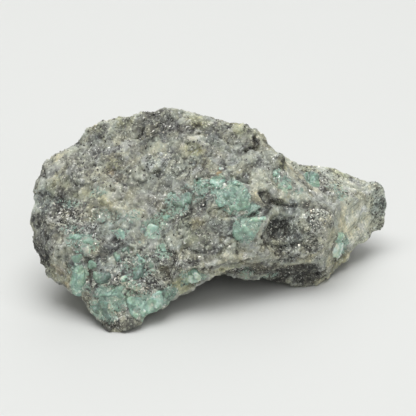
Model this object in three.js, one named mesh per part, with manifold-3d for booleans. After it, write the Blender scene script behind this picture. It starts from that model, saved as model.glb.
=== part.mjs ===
// A raw emerald still in its host rock: one broken lump of mica schist, 82 mm long, with emerald grown through it.
// The lump leans back on a pointed toe at the front left, on a foot under the right shoulder and on the heel of
// its back, and it arches clear of the surface between them. A thinner slab runs off to the back right.
// Millimetres, +X right, +Y to the back, +Z up, origin on the surface under the middle of the stone.
import * as THREE from "three";
import { ConvexHull } from "three/addons/math/ConvexHull.js";
import { mergeVertices } from "three/addons/utils/BufferGeometryUtils.js";
import Module from "manifold-3d";

// Driving dimensions.
const HEART = new THREE.Vector3(1, 3, 15); // a point inside from which the whole surface is seen
const LONGEST_EDGE = 2.5; // of the finished faces
const SPLIT_SHARE = 0.6; // a pass splits edges longer than this share of the longest one
const SOFTENING = { passes: 2, share: 0.3 }; // rounds the broken edges
const FRACTURES = [
  { size: 9, tilt: 0.1, step: 0.2 }, // broad flakes broken off the faces
  { size: 4.4, tilt: 0.09, step: 0.12 }, // chips on the flakes
];
const GRAIN = { size: 3, height: 0.2 }; // lumps of single minerals
const GROUND = { side: 200, depth: 20 }; // what is under the surface is cut away, which leaves flat feet
const WELD = 1e-4; // corners nearer than this are one corner
const MIX = [127.1, 311.7, 74.7, 53.3]; // turns a cell's place and a channel into one number
const MIX_GAIN = 43758.5453; // large enough that the fraction of the result looks random

// Flat faces along which the slab split: a point of the face, its outward direction, how far it goes from that
// point, and how deep a hollow it closes.
const CLEAVAGES = [
  { centre: [30.4, 13.8, 19.2], facing: [0.46, -0.16, 0.87], reach: 8, fill: 1 },
  { centre: [34.0, 9.4, 10.4], facing: [0.68, -0.68, 0.28], reach: 6.5, fill: 1 },
  { centre: [39.4, 13.8, 10.6], facing: [0.42, -0.9, 0.1], reach: 5, fill: 1 },
];

// Corners of the stone, [x, y, z], each group in order along its edge.
const TOE = [
  [-20.6, -21.0, -0.9],
  [-22.8, -21.0, 1.0],
  [-18.0, -21.6, 0.6],
  [-20.0, -17.5, -0.9],
  [-23.5, -16.5, 1.5],
];
const LEFT_EDGE = [
  [-24.5, -19.6, 1.9],
  [-26.7, -17.6, 3.2],
  [-28.6, -15.4, 5.9],
  [-31.5, -13.5, 6.7],
  [-34.6, -11.5, 7.6],
  [-37.0, -9.6, 9.3],
  [-38.1, -8.4, 12.2],
  [-39.2, -7.0, 18.0],
  [-39.8, -6.4, 20.0],
  [-39.3, -4.4, 23.6],
  [-39.0, -3.0, 27.0],
  [-37.4, -1.0, 29.2],
  [-37.2, 0.2, 30.9],
];
const CREST = [
  [-34.2, 1.6, 32.6],
  [-29.1, 4.0, 34.3],
  [-26.8, 5.0, 37.5],
  [-23.8, 5.6, 38.4],
  [-19.8, 6.0, 39.9],
  [-13.8, 7.0, 40.9],
  [-10.9, 7.6, 41.9],
  [-8.3, 8.0, 41.3],
  [-2.7, 8.0, 39.0],
  [3.6, 8.0, 37.1],
  [7.2, 8.0, 37.2],
  [9.6, 7.5, 36.2],
  [11.8, 7.0, 34.5],
  [13.2, 6.0, 32.4],
  [16.0, 5.0, 30.5],
  [17.2, 4.5, 28.6],
];
const ARCH_EDGE = [
  [-13.9, -19.2, 2.6],
  [-10.1, -17.4, 3.2],
  [-4.9, -13.7, 4.8],
  [-1.3, -11.5, 6.4],
  [1.8, -9.6, 8.2],
  [7.0, -7.4, 6.8],
  [9.9, -6.0, 4.4],
  [12.4, -5.0, 3.6],
  [15.4, -4.0, 3.8],
  [17.0, -2.8, 2.9],
];
const SHOULDER_FOOT = [
  [18.9, -0.8, 0.5],
  [21.4, -0.4, -0.8],
  [25.6, 0.4, -0.8],
  [28.2, 2.1, 0.3],
  [22.0, 4.0, -0.8],
  [17.5, 2.5, 0.8],
];
const SLAB_FOOT_EDGE = [
  [30.2, 4.6, 1.3],
  [33.3, 7.6, 2.5],
  [35.0, 9.8, 4.0],
  [38.0, 11.8, 5.8],
  [41.0, 13.8, 7.7],
];
const SLAB_END = [
  [41.2, 15.0, 10.0],
  [41.3, 16.0, 13.7],
  [41.5, 17.0, 16.7],
  [40.6, 18.0, 17.6],
];
const SLAB_CREST = [
  [37.9, 18.0, 17.9],
  [34.2, 18.0, 19.3],
  [31.0, 17.0, 20.8],
  [27.2, 16.0, 21.8],
  [23.4, 15.0, 23.4],
  [20.4, 14.0, 24.2],
];
const SHOULDER = [
  [20.6, -1.4, 20.3],
  [26.5, -0.6, 18.6],
  [28.9, 2.6, 13.8],
  [28.6, 2.0, 8.4],
  [24.1, -3.2, 8.0],
  [24.6, -3.6, 14.6],
  [15.6, -4.3, 16.6],
  [20.8, -4.4, 12.4],
  [13.8, -8.2, 10.5],
  [7.1, -10.3, 11.4],
  [1.5, -12.3, 12.5],
];
const SLAB_TOP = [
  [31.4, 9.6, 16.4],
  [35.3, 11.3, 11.9],
  [26.8, 10.6, 19.8],
  [31.6, 6.8, 7.7],
  [36.9, 13.8, 14.6],
  [36.9, 12.2, 7.4],
  [22.1, 10.0, 22.8],
  [18.6, 7.4, 25.5],
];
const FACE = [
  [-32.4, -11.6, 20.5],
  [-32.7, -3.2, 28.6],
  [-23.8, -6.6, 25.3],
  [-20.0, 0.6, 33.2],
  [-12.8, -1.6, 30.2],
  [-12.8, -9.6, 19.4],
  [-23.6, -14.7, 14.6],
  [-21.4, -19.2, 7.1],
  [-1.8, -8.6, 21.3],
  [-1.8, 0.4, 31.7],
  [7.1, -5.8, 24.8],
  [-6.2, -13.2, 12.5],
  [-12.7, -17.2, 8.5],
  [10.6, 1.0, 30.2],
  [8.4, -8.4, 17.8],
  [14.4, -2.4, 24.0],
  [-32.7, -13.0, 13.3],
  [18.6, 1.4, 24.9],
  [-29.3, -15.2, 8.6],
  [-36.9, -9.8, 16.4],
];
const BACK = [
  [-33.5, 8.5, 24.0],
  [-36.0, 3.0, 16.0],
  [-25.5, 12.5, 31.0],
  [-28.5, 16.5, 15.0],
  [-9.0, 16.5, 35.0],
  [-13.0, 22.5, 20.0],
  [3.5, 16.5, 32.5],
  [4.0, 23.0, 20.0],
  [13.5, 14.5, 28.5],
  [16.0, 22.5, 16.5],
  [28.0, 22.5, 14.5],
  [36.5, 22.0, 11.5],
];
const HEEL = [
  [-30.5, 7.0, 6.5],
  [-23.5, 14.5, 1.2],
  [-17.0, 18.5, -0.8],
  [-12.0, 21.5, 0.6],
  [-4.0, 24.0, 3.6],
  [6.0, 24.4, 3.8],
  [14.5, 22.6, -0.7],
  [21.0, 22.4, 0.6],
  [29.0, 21.0, 3.8],
  [37.0, 19.0, 6.4],
];
const UNDERSIDE = [
  [-14.5, 13.5, -0.8],
  [-26.0, -6.0, 4.6],
  [-15.0, -10.0, 3.6],
  [-10.0, 2.0, 3.4],
  [2.0, -2.0, 5.2],
  [3.0, 11.0, 4.2],
  [13.5, 15.5, -0.6],
  [25.0, 12.0, 2.0],
  [12.0, 4.0, 3.2],
];

const corners = [
  TOE, LEFT_EDGE, CREST, ARCH_EDGE, SHOULDER_FOOT, SLAB_FOOT_EDGE, SLAB_END,
  SLAB_CREST, SHOULDER, SLAB_TOP, FACE, BACK, HEEL, UNDERSIDE,
].flat().map((corner) => new THREE.Vector3(...corner));

// Joins corners into a closed surface by the convex hull of their directions from the heart of the stone.
function facesAround(points, heart) {
  const directions = points.map((point) => point.clone().sub(heart).normalize());
  const index = new Map(directions.map((direction, i) => [direction, i]));
  return new ConvexHull().setFromPoints(directions).faces.map((face) => {
    const edges = [face.edge, face.edge.next, face.edge.next.next];
    return edges.map((edge) => index.get(edge.head().point));
  });
}

// Splits long edges at their middles until none is over the limit. Neighbouring faces share each new corner.
function refine(points, faces, limit) {
  const length = (a, b) => points[a].distanceTo(points[b]);
  for (;;) {
    const longest = Math.max(...faces.map(([a, b, c]) => Math.max(length(a, b), length(b, c), length(c, a))));
    if (longest <= limit) return faces;
    const threshold = Math.max(limit, longest * SPLIT_SHARE);
    const middles = new Map();
    const middle = (a, b) => {
      if (length(a, b) <= threshold) return undefined;
      const key = Math.min(a, b) + "_" + Math.max(a, b);
      if (!middles.has(key)) {
        middles.set(key, points.length);
        points.push(points[a].clone().lerp(points[b], 0.5));
      }
      return middles.get(key);
    };
    faces = faces.flatMap(([a, b, c]) => splitFace(a, b, c, middle(a, b), middle(b, c), middle(c, a)));
  }
}

// The faces that one face becomes when some of its edges have gained a middle corner.
function splitFace(a, b, c, ab, bc, ca) {
  if (ab === undefined && bc === undefined && ca === undefined) return [[a, b, c]];
  if (ab !== undefined && bc !== undefined && ca !== undefined)
    return [[a, ab, ca], [ab, b, bc], [ca, bc, c], [ab, bc, ca]];
  if (ab === undefined) return splitFace(b, c, a, bc, ca, ab); // turned until the first edge is a split one
  if (bc !== undefined) return [[ab, b, bc], [a, ab, bc], [a, bc, c]];
  if (ca !== undefined) return [[a, ab, ca], [ab, b, c], [ab, c, ca]];
  return [[a, ab, c], [ab, b, c]];
}

// For each corner, the corners that it shares an edge with.
function neighbours(count, faces) {
  const near = Array.from({ length: count }, () => new Set());
  for (const [a, b, c] of faces) {
    near[a].add(b).add(c);
    near[b].add(c).add(a);
    near[c].add(a).add(b);
  }
  return near;
}

// Moves every corner part of the way to the middle of its neighbours.
function soften(points, faces, { passes, share }) {
  const near = neighbours(points.length, faces);
  for (let pass = 0; pass < passes; pass++) {
    const middles = near.map((set) => {
      const sum = new THREE.Vector3();
      set.forEach((i) => sum.add(points[i]));
      return sum.divideScalar(set.size);
    });
    points.forEach((point, i) => point.lerp(middles[i], share));
  }
}

// A repeatable number from 0 to 1 for a cell of space and a channel.
function chance(x, y, z, channel) {
  const mixed = Math.sin(x * MIX[0] + y * MIX[1] + z * MIX[2] + channel * MIX[3]) * MIX_GAIN;
  return mixed - Math.floor(mixed);
}

// Calls visit(cell, seed point) for the 27 cells around a place. Each cell holds one seed point.
function visitCells(place, visit) {
  const base = place.clone().floor();
  for (let x = -1; x <= 1; x++)
    for (let y = -1; y <= 1; y++)
      for (let z = -1; z <= 1; z++) {
        const cell = base.clone().add(new THREE.Vector3(x, y, z));
        const jitter = [0, 1, 2].map((channel) => chance(cell.x, cell.y, cell.z, channel));
        visit(cell, cell.clone().add(new THREE.Vector3(...jitter)));
      }
}

// Height of a broken surface: each cell of rock ends in its own tilted plane, at its own level.
function fracture(point, { size, tilt, step }) {
  const place = point.clone().divideScalar(size);
  let nearest = Infinity;
  let height = 0;
  visitCells(place, (cell, seed) => {
    const away = place.clone().sub(seed);
    if (away.lengthSq() >= nearest) return;
    nearest = away.lengthSq();
    const lean = new THREE.Vector3(...[3, 4, 5].map((channel) => chance(cell.x, cell.y, cell.z, channel) - 0.5));
    height = 2 * tilt * size * away.dot(lean) + step * (chance(cell.x, cell.y, cell.z, 6) - 0.5) * 2;
  });
  return height;
}

// Height of rounded grains: highest at each cell's seed point and lowest between cells.
function grain(point, { size, height }) {
  const place = point.clone().divideScalar(size);
  let nearest = Infinity;
  visitCells(place, (cell, seed) => {
    nearest = Math.min(nearest, place.distanceTo(seed));
  });
  return height * (0.5 - nearest);
}

// The outward direction at each corner.
function normals(points, faces) {
  const sums = points.map(() => new THREE.Vector3());
  for (const [a, b, c] of faces) {
    const normal = points[b].clone().sub(points[a]).cross(points[c].clone().sub(points[a]));
    [a, b, c].forEach((i) => sums[i].add(normal));
  }
  return sums.map((sum) => sum.normalize());
}

// Moves every corner along its normal by the height of the broken, grainy surface there.
function roughen(points, faces) {
  const outward = normals(points, faces);
  const heights = points.map((point) => {
    const broken = FRACTURES.reduce((sum, scale) => sum + fracture(point, scale), 0);
    return broken + grain(point, GRAIN);
  });
  points.forEach((point, i) => point.addScaledVector(outward[i], heights[i]));
}

// Brings the corners near each flat face onto it, all the way in its middle and less towards its edge.
function cleave(points) {
  for (const { centre, facing, reach, fill } of CLEAVAGES) {
    const middle = new THREE.Vector3(...centre);
    const outward = new THREE.Vector3(...facing).normalize();
    for (const point of points) {
      const away = point.clone().sub(middle);
      const above = away.dot(outward);
      const aside = Math.sqrt(Math.max(0, away.lengthSq() - above * above));
      const near = 1 - THREE.MathUtils.smoothstep(aside, 0.8 * reach, reach);
      const kept = THREE.MathUtils.smoothstep(above, -2 * fill, -fill);
      point.addScaledVector(outward, -near * kept * above);
    }
  }
}

const wasm = await Module();
wasm.setup();

function solidOf(geometry) {
  const bare = geometry.clone();
  bare.deleteAttribute("normal");
  bare.deleteAttribute("uv");
  const merged = mergeVertices(bare, WELD);
  return new wasm.Manifold(
    new wasm.Mesh({
      numProp: 3,
      vertProperties: new Float32Array(merged.getAttribute("position").array),
      triVerts: new Uint32Array(merged.index.array),
    }),
  );
}

function geometryOf(solid) {
  const mesh = solid.getMesh();
  const geometry = new THREE.BufferGeometry();
  geometry.setAttribute("position", new THREE.BufferAttribute(new Float32Array(mesh.vertProperties), 3));
  geometry.setIndex(new THREE.BufferAttribute(new Uint32Array(mesh.triVerts), 1));
  geometry.computeVertexNormals();
  return geometry;
}

// The whole lump, down to where its feet meet the surface.
function stoneGeometry() {
  const faces = refine(corners, facesAround(corners, HEART), LONGEST_EDGE);
  soften(corners, faces, SOFTENING);
  roughen(corners, faces);
  cleave(corners);
  const rough = new THREE.BufferGeometry().setFromPoints(corners);
  rough.setIndex(faces.flat());
  const ground = new THREE.BoxGeometry(GROUND.side, GROUND.side, GROUND.depth);
  ground.translate(0, 0, -GROUND.depth / 2);
  const geometry = geometryOf(solidOf(rough).subtract(solidOf(ground)));
  geometry.computeBoundingBox();
  const middle = geometry.boundingBox.getCenter(new THREE.Vector3());
  return geometry.translate(-middle.x, -middle.y, 0);
}

const schist = new THREE.MeshStandardMaterial({ color: 0x8b8d84, roughness: 0.75, metalness: 0 });
const stone = new THREE.Mesh(stoneGeometry(), schist);
stone.name = "emerald_in_schist";

const part = new THREE.Group();
part.add(stone);
export default part;
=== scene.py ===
"""A raw emerald still in its host rock: the finished surface of one broken lump of mica schist.

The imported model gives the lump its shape, size and place. This script grows the fine surface over it: the
fractured schist, the emerald that runs through it, and the loose flakes and grains of its other minerals.
Places, sizes, heights and depths below are in millimetres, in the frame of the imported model, where nothing
else is said. Meshes are built in metres.
"""

import logging
import math
from dataclasses import dataclass, field
from enum import Enum, IntEnum
from itertools import product

import bmesh
import bpy
import numpy as np
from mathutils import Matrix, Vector
from mathutils.kdtree import KDTree


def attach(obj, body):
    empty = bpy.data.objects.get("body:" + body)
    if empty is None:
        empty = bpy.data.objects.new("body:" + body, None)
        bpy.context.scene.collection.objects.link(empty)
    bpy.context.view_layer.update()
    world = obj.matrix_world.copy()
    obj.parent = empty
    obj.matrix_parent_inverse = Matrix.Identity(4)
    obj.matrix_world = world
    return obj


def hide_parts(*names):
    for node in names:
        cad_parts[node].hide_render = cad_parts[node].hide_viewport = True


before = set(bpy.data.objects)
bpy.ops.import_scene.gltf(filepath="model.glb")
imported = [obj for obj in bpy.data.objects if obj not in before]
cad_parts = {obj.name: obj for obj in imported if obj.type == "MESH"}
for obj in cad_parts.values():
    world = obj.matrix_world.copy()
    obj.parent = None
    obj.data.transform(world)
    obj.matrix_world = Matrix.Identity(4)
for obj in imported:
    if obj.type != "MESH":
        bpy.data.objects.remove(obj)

LOG = logging.getLogger("raw_emerald")
STONE_NODE = "emerald_in_schist"
BODY = "root"
MM = 0.001  # metres in a millimetre

Point = tuple[float, float, float]
Colour = tuple[float, float, float]
Array = np.ndarray
Random = np.random.Generator
Mesh = bpy.types.Mesh


class Slot(Enum):
    """Names of material slots. The pieces here don't use them; each takes the finish that it is built with.
    """

    SCHIST = "schist"
    EMERALD = "emerald"
    MICA = "mica"


class Mineral(Enum):
    """What a place on the stone is rich in. The values name the mesh attributes that hold the shares.

    The emerald, biotite and feldspar shares are grains of those minerals; in some places the biotite share
    also darkens up-facing or undercut stone as painted shade, and the feldspar share lightens stone in shadow
    as painted light. OLIVE, SLATE and RUST are greenish, bluish and brown stains. SHEEN is silky mica that
    lies flat, and SPECKLE is where the grains differ most in tone.
    """

    EMERALD = "emerald"
    BIOTITE = "biotite"
    FELDSPAR = "feldspar"
    OLIVE = "olive"
    SHEEN = "sheen"
    SLATE = "slate"
    RUST = "rust"
    SPECKLE = "speckle"


class Seed(IntEnum):
    """Seeds of the random patterns. One that is used for several layers also takes the numbers after it."""

    FLAKE_DRIFT = 31
    FACET_DRIFT = 41
    BREAK_DRIFT = 45
    BREAKS = 47
    BREAK_PLACES = 49
    SKIN_DRIFT = 53
    GROOVE_DRIFT = 61
    RAGGED_GROOVE = 62
    RIM_DRIFT = 63
    FLAKES = 71
    FACETS = 81
    GRAINS = 91
    SWELLS = 95
    STREAKS = 101


# --- Random numbers that depend only on place ---


def scramble(cells: Array, seed: int) -> Array:
    """Gives each whole-numbered cell three fixed random numbers.

    Args:
        cells: whole-numbered cell places, one row each.
        seed: a different seed gives other numbers.

    Returns:
        One row of three numbers from 0 to 1 for each cell.
    """
    whole = cells.astype(np.int64).astype(np.uint64)
    mixed = whole[:, 0] * np.uint64(73856093) ^ whole[:, 1] * np.uint64(19349663)
    mixed ^= whole[:, 2] * np.uint64(83492791) ^ np.uint64(seed * 2654435761 + 97)
    numbers = np.empty((len(cells), 3))
    for column in range(3):
        mixed ^= mixed >> np.uint64(29)
        mixed *= np.uint64(0xBF58476D1CE4E5B9)
        mixed ^= mixed >> np.uint64(32)
        numbers[:, column] = (mixed & np.uint64(0xFFFFFF)) / float(0x1000000)
    return numbers


def swell(points: Array, size: float, seed: int) -> Array:
    """Gives a smooth random rise and fall.

    Args:
        points: the places.
        size: distance between a rise and the next.
        seed: a different seed gives another pattern.

    Returns:
        One number from -1 to 1 for each point.
    """
    scaled = points / size
    base = np.floor(scaled)
    part = scaled - base
    ease = part * part * (3 - 2 * part)
    total = np.zeros(len(points))
    for corner in product((0, 1), repeat=3):
        share = np.prod(np.where(corner, ease, 1 - ease), axis=1)
        total += share * scramble(base + corner, seed)[:, 0]
    return total * 2 - 1


def drift(points: Array, size: float, reach: float, seed: int) -> Array:
    """Moves points about smoothly, so that what is measured from them gets an irregular edge.

    Args:
        points: the places.
        size: distance over which the movement changes.
        reach: how far a point moves at most along each axis.
        seed: a different seed gives other movements.

    Returns:
        The moved points.
    """
    moves = [swell(points, size, seed + axis) for axis in range(3)]
    return points + reach * np.stack(moves, axis=1)


@dataclass(frozen=True)
class Cells:
    """The random cells, like the grains of a rock, that some points fall in.

    Attributes:
        away: from the middle of each point's cell to the point.
        numbers: three random numbers from 0 to 1 of each point's cell.
        inside: how far inside its cell each point is, from 0 at the border, in cell sizes.
    """

    away: Array
    numbers: Array
    inside: Array

    def facets(self, lean: float, step: float) -> Array:
        """Gives each cell a flat face that leans at random.

        Args:
            lean: how steep the faces may be.
            step: how much higher one face may lie than another.

        Returns:
            The height of the face at each point.
        """
        slope = (self.away * (self.numbers - 0.5)).sum(axis=1) * 2 * lean
        return slope + (self.numbers[:, 0] - 0.5) * step


def cells_at(points: Array, size: float, seed: int) -> Cells:
    """Finds the random cell that each point is in.

    Args:
        points: the places.
        size: size of a cell in millimetres.
        seed: a different seed gives other cells.

    Returns:
        The cells of the points.
    """
    scaled = points / size
    base = np.floor(scaled)
    nearest = np.full(len(points), np.inf)
    second = np.full(len(points), np.inf)
    away = np.zeros_like(scaled)
    numbers = np.zeros_like(scaled)
    for step in product((-1, 0, 1), repeat=3):
        cell = base + step
        middle = cell + scramble(cell, seed)
        gap = scaled - middle
        reach = np.linalg.norm(gap, axis=1)
        closer = reach < nearest
        second = np.where(closer, nearest, np.minimum(second, reach))
        away[closer] = gap[closer]
        numbers[closer] = scramble(cell[closer], seed + 1)
        nearest = np.where(closer, reach, nearest)
    return Cells(away * size, numbers, second - nearest)


def ease_between(value: Array, low: float, high: float) -> Array:
    """Goes smoothly from 0 where value is low to 1 where it is high."""
    share = np.clip((value - low) / (high - low), 0, 1)
    return share * share * (3 - 2 * share)


def within(points: Array, centre: Point, reach: Point, full: float, edge: float) -> Array:
    """Gives 1 around a middle, falling to 0 further out.

    Args:
        points: the places.
        centre: the middle.
        reach: how long one reach is along X, Y and Z.
        full: how many reaches out it starts to fall.
        edge: how many reaches out it ends.

    Returns:
        One number for each point.
    """
    away = np.linalg.norm((points - centre) / np.array(reach), axis=1)
    return 1 - ease_between(away, full, edge)


FOLIATION = np.array((0.39, -0.85, 0.35))  # the mica flakes lie across this direction
FLATNESS = 1.8  # how much wider the grains are than they are thick
SPLIT = (0.6, 0.72, 0.34)  # the slab has split into fibres that run along this direction
FIBRE_SQUEEZE = 0.85  # how much space is squeezed along the fibres that the finish draws
STREAK_SQUEEZE = 0.9  # how much it is squeezed along the streaks, which come out ten times as long as wide


def foliated(points: Array) -> Array:
    """Stretches space across the foliation, so that cells found in it come out as flat grains."""
    return points + (FLATNESS - 1) * (points @ FOLIATION)[:, None] * FOLIATION


# --- Where the minerals lie, and how the stone broke ---


@dataclass(frozen=True)
class Patch:
    """A place on the stone that is rich in one mineral.

    Attributes:
        centre: middle of the patch.
        reach: how far it goes from there along X, Y and Z.
        amount: share of the mineral in the middle, from 0 to 1.
    """

    centre: Point
    reach: Point
    amount: float = 1.0

    def share(self, points: Array) -> Array:
        """Gives the share of the mineral at each point, from 0 to 1.

        Args:
            points: the places.

        Returns:
            One share for each point.
        """
        return self.amount * within(points, self.centre, self.reach, 0.7, 1.15)


@dataclass(frozen=True)
class Groove:
    """A crack, slit or crevice that runs along a line of points.

    Attributes:
        line: the points of its bottom.
        width: half its width.
        depth: how deep it is cut. A negative depth raises a ridge.
        wander: how far it strays from its line.
    """

    line: tuple[Point, ...]
    width: float
    depth: float
    wander: float = 0.5

    def nearness(self, points: Array) -> Array:
        """Gives how near each point is to the line, from 0 outside the groove to 1 in its middle.

        Args:
            points: the places.

        Returns:
            One number for each point.
        """
        strayed = drift(points, 2.2, self.wander, Seed.GROOVE_DRIFT)
        strayed = drift(strayed, 0.9, 0.5 * self.wander + 0.15, Seed.RAGGED_GROOVE)
        nearest = np.full(len(points), np.inf)
        for start, end in zip(self.line, self.line[1:]):
            first = np.array(start)
            run = np.array(end) - first
            along = np.clip((strayed - first) @ run / (run @ run), 0, 1)
            gap = np.linalg.norm(strayed - first - along[:, None] * run, axis=1)
            nearest = np.minimum(nearest, gap)
        return 1 - ease_between(nearest, 0.25 * self.width, self.width)


@dataclass(frozen=True)
class Streaks:
    """Long narrow ridges and hollows, where the stone split along its grain.

    Attributes:
        patch: where they are.
        along: the direction that they run in.
        pitch: distance from one to the next.
        depth: how high and deep they are.
    """

    patch: Patch
    along: Point
    pitch: float
    depth: float

    def waves(self, points: Array) -> Array:
        """Gives the ridges and hollows at each point.

        Args:
            points: the places.

        Returns:
            One number from -1 to 1 for each point.
        """
        along = np.array(self.along) / np.linalg.norm(self.along)
        squeezed = points - STREAK_SQUEEZE * (points @ along)[:, None] * along
        broad = swell(squeezed, self.pitch, Seed.STREAKS)
        narrow = swell(squeezed, self.pitch / 2, Seed.STREAKS + 1)
        return (0.65 * broad + 0.35 * narrow) * self.patch.share(points)


@dataclass(frozen=True)
class Push:
    """A swelling or a hollow of the stone.

    Attributes:
        centre: its middle.
        reach: how far it goes along X, Y and Z.
        by: how far its middle is pushed along X, Y and Z.
    """

    centre: Point
    reach: Point
    by: Point

    def pushed(self, points: Array) -> Array:
        """Moves the points near the middle.

        Args:
            points: the places.

        Returns:
            The moved points.
        """
        share = within(points, self.centre, self.reach, 0.35, 1.0)
        return points + share[:, None] * np.array(self.by)


PUSHES: tuple[Push, ...] = (
    Push((24, -3.4, 15.4), (5.6, 5, 6.4), (0.3, -1.1, 0.3)),
    Push((14.4, -7, 17.2), (3.8, 4, 3.4), (-0.2, 1.7, -0.5)),
    Push((8.2, -9.8, 18), (3.8, 3, 3.4), (0.1, -0.8, 0.2)),
    Push((15.2, 2.6, 29.4), (2.2, 2.6, 2.2), (0.5, -0.2, 0.6)),
    Push((18.6, 4, 27.4), (2, 3, 1.6), (-0.3, 0.2, -0.8)),
    Push((13.2, -3.6, 25.4), (2.4, 2.4, 2), (0, -0.5, 0.6)),
    Push((-4.4, 1.2, 34.2), (3, 2.6, 2.6), (0, -0.4, 0.5)),
    Push((38.6, 12, 7.4), (3.6, 4, 3.6), (0.35, -0.15, -0.7)),
    Push((33, 7, 4.4), (4, 4, 3.4), (-0.3, 0.3, 0.5)),
    Push((-13.3, -20.3, 2.9), (3.6, 3, 3), (-0.2, 0.6, 0.6)),
    Push((-37, 0, 31.6), (3.4, 3.4, 3), (0.25, 0.1, -0.4)),
    Push((-40.4, -7, 19.2), (3, 7, 7), (0.4, 0.1, 0)),
    Push((15.8, 4.6, 28.8), (2.4, 3.4, 2.2), (-0.3, 0, -0.3)),
    Push((-26.6, -19, 4.6), (3, 3, 4), (-0.35, -0.2, 0)),
    Push((5, -9.8, 7.2), (5.6, 3.6, 2.8), (0, 0.4, 0.9)),
)

STREAKS: tuple[Streaks, ...] = (
    Streaks(Patch((28, 12, 20), (11, 6, 4.6)), (0.86, 0.18, -0.47), 1.3, 0.16),
    Streaks(Patch((33, 8.6, 10.4), (4.2, 5.6, 7.4)), SPLIT, 1.3, 0.16),
    Streaks(Patch((40, 13.6, 11.6), (3.2, 4, 6.6)), (0.06, 0.03, 1), 0.9, 0.14),
    Streaks(Patch((6, -12, 12.4), (13, 4, 2.2)), (1, 0.34, 0.02), 1.1, 0.20),
    Streaks(Patch((26, -1, 4.6), (6, 5, 3.4)), (1, 0.72, 0.5), 1.2, 0.20),
)


def patches(*rows: tuple[Point, Point] | tuple[Point, Point, float]) -> tuple[Patch, ...]:
    """Makes a patch of each row of a middle, a reach and, where it isn't 1, an amount."""
    return tuple(Patch(*row) for row in rows)


PATCHES: dict[Mineral, tuple[Patch, ...]] = {}
PATCHES[Mineral.EMERALD] = patches(
    ((4.6, -6, 25.6), (4.2, 4, 4.2)),
    ((-9.8, -17.2, 5.6), (2.4, 2.6, 2.2), 0.8),
    ((-5, -14.6, 7.9), (2.8, 2.6, 1.4), 0.7),
    ((-13.2, -20.2, 3.8), (3.6, 3, 2.6), 0.95),
    ((0.8, -4.3, 27.8), (2.6, 3, 2.1), 0.75),
    ((-2.1, -5.2, 27.1), (2.6, 3, 2), 0.65),
    ((7.4, -9.6, 19), (3.8, 3.4, 2.9), 0.8),
    ((-7.4, -8, 24.2), (3, 3.2, 2.6), 0.7),
    ((-4.6, -6, 26.4), (2.6, 3, 2), 0.3),
    ((8.2, -7.5, 22.5), (2.2, 2.4, 1.5), 0.9),
    ((4.2, -8.5, 22.4), (2.2, 2.6, 1.2), 0.6),
    ((-17.8, -19.1, 9.5), (2.2, 2.6, 1.2), 0.5),
    ((-10.4, -9.6, 22), (2.8, 3, 1.6), 0.5),
    ((-12.8, -11.2, 19.4), (2.6, 3, 2.2), 0.6),
    ((-11.1, -13.8, 15.8), (1.8, 2.4, 1.8), 0.5),
    ((-29.2, -13.8, 18.4), (3.8, 3, 1.8), 0.5),
    ((-30.4, -12.6, 20.4), (3, 2.6, 1.2), 0.35),
    ((-27.4, -14.8, 17.2), (2.8, 3, 1.8), 0.5),
    ((-31.6, -15.8, 12.3), (1.4, 2.6, 2.4), 0.5),
    ((-27.8, -18.3, 8.3), (1.6, 2.6, 1.6), 0.5),
    ((-29.6, -16.6, 9.6), (2.6, 3.5, 5), 0.9),
    ((-21.9, -19.8, 7.4), (4.4, 3.5, 3.2), 0.8),
    ((-24.6, -20.6, 4), (3.4, 3.5, 2.4), 0.7),
    ((-14.6, -20, 5.8), (4.2, 3.5, 3.2), 0.75),
    ((-9.8, -17.6, 6.8), (2.4, 2.8, 2.4), 0.7),
    ((-4.2, -13.9, 9.2), (2.8, 2.6, 2.2), 0.8),
    ((-16.6, -16.6, 12.6), (4.6, 2.6, 3.4), 0.35),
    ((-19.9, -12.2, 19), (2, 3, 1.6), 0.45),
    ((-23, -9.9, 21.8), (4.6, 3, 2.2), 0.3),
    ((-17.4, -9.6, 22.4), (3, 3, 1.8), 0.5),
    ((23, 8.7, 21.6), (2.4, 3, 2), 0.9),
    ((16.5, -0.7, 25.6), (1.8, 2.6, 1.9), 0.7),
    ((14, 0.1, 27.6), (1.6, 2, 1.4), 0.6),
    ((19.4, -0.1, 23.4), (2, 3, 1.2), 0.35),
    ((28.4, 8.6, 18.6), (3.2, 3, 1.8), 0.45),
    ((29.4, 3.4, 8), (1.9, 3, 3), 0.8),
    ((7.9, -8.9, 7), (2.2, 2.5, 1.8), 0.5),
    ((12.6, -6.5, 5.4), (2, 2.5, 1.6), 0.5),
    ((-25.4, -7.1, 26.9), (2.2, 2.2, 1.6), 0.45),
    ((-31, -7.6, 24.4), (4, 2.4, 1.1), 0.5),
    ((-4.6, 20.6, 19.4), (5.4, 4, 3.2), 0.6),
    ((1.8, 20.4, 15.4), (3.4, 4, 3.2), 0.6),
    ((-9.6, 19, 14.6), (3, 3, 2.2), 0.45),
    ((-21.4, 16.4, 22.6), (4.2, 3.6, 2.6), 0.55),
    ((-26, 13, 17.6), (2.6, 3, 2.6), 0.45),
    ((15.6, 20.2, 11.4), (4.2, 3.5, 2.4), 0.55),
    ((22.6, 18.6, 13.4), (2.4, 3, 1.8), 0.45),
    ((-12, 11, 35), (3.5, 3, 3.5), 0.45),
)
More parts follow.
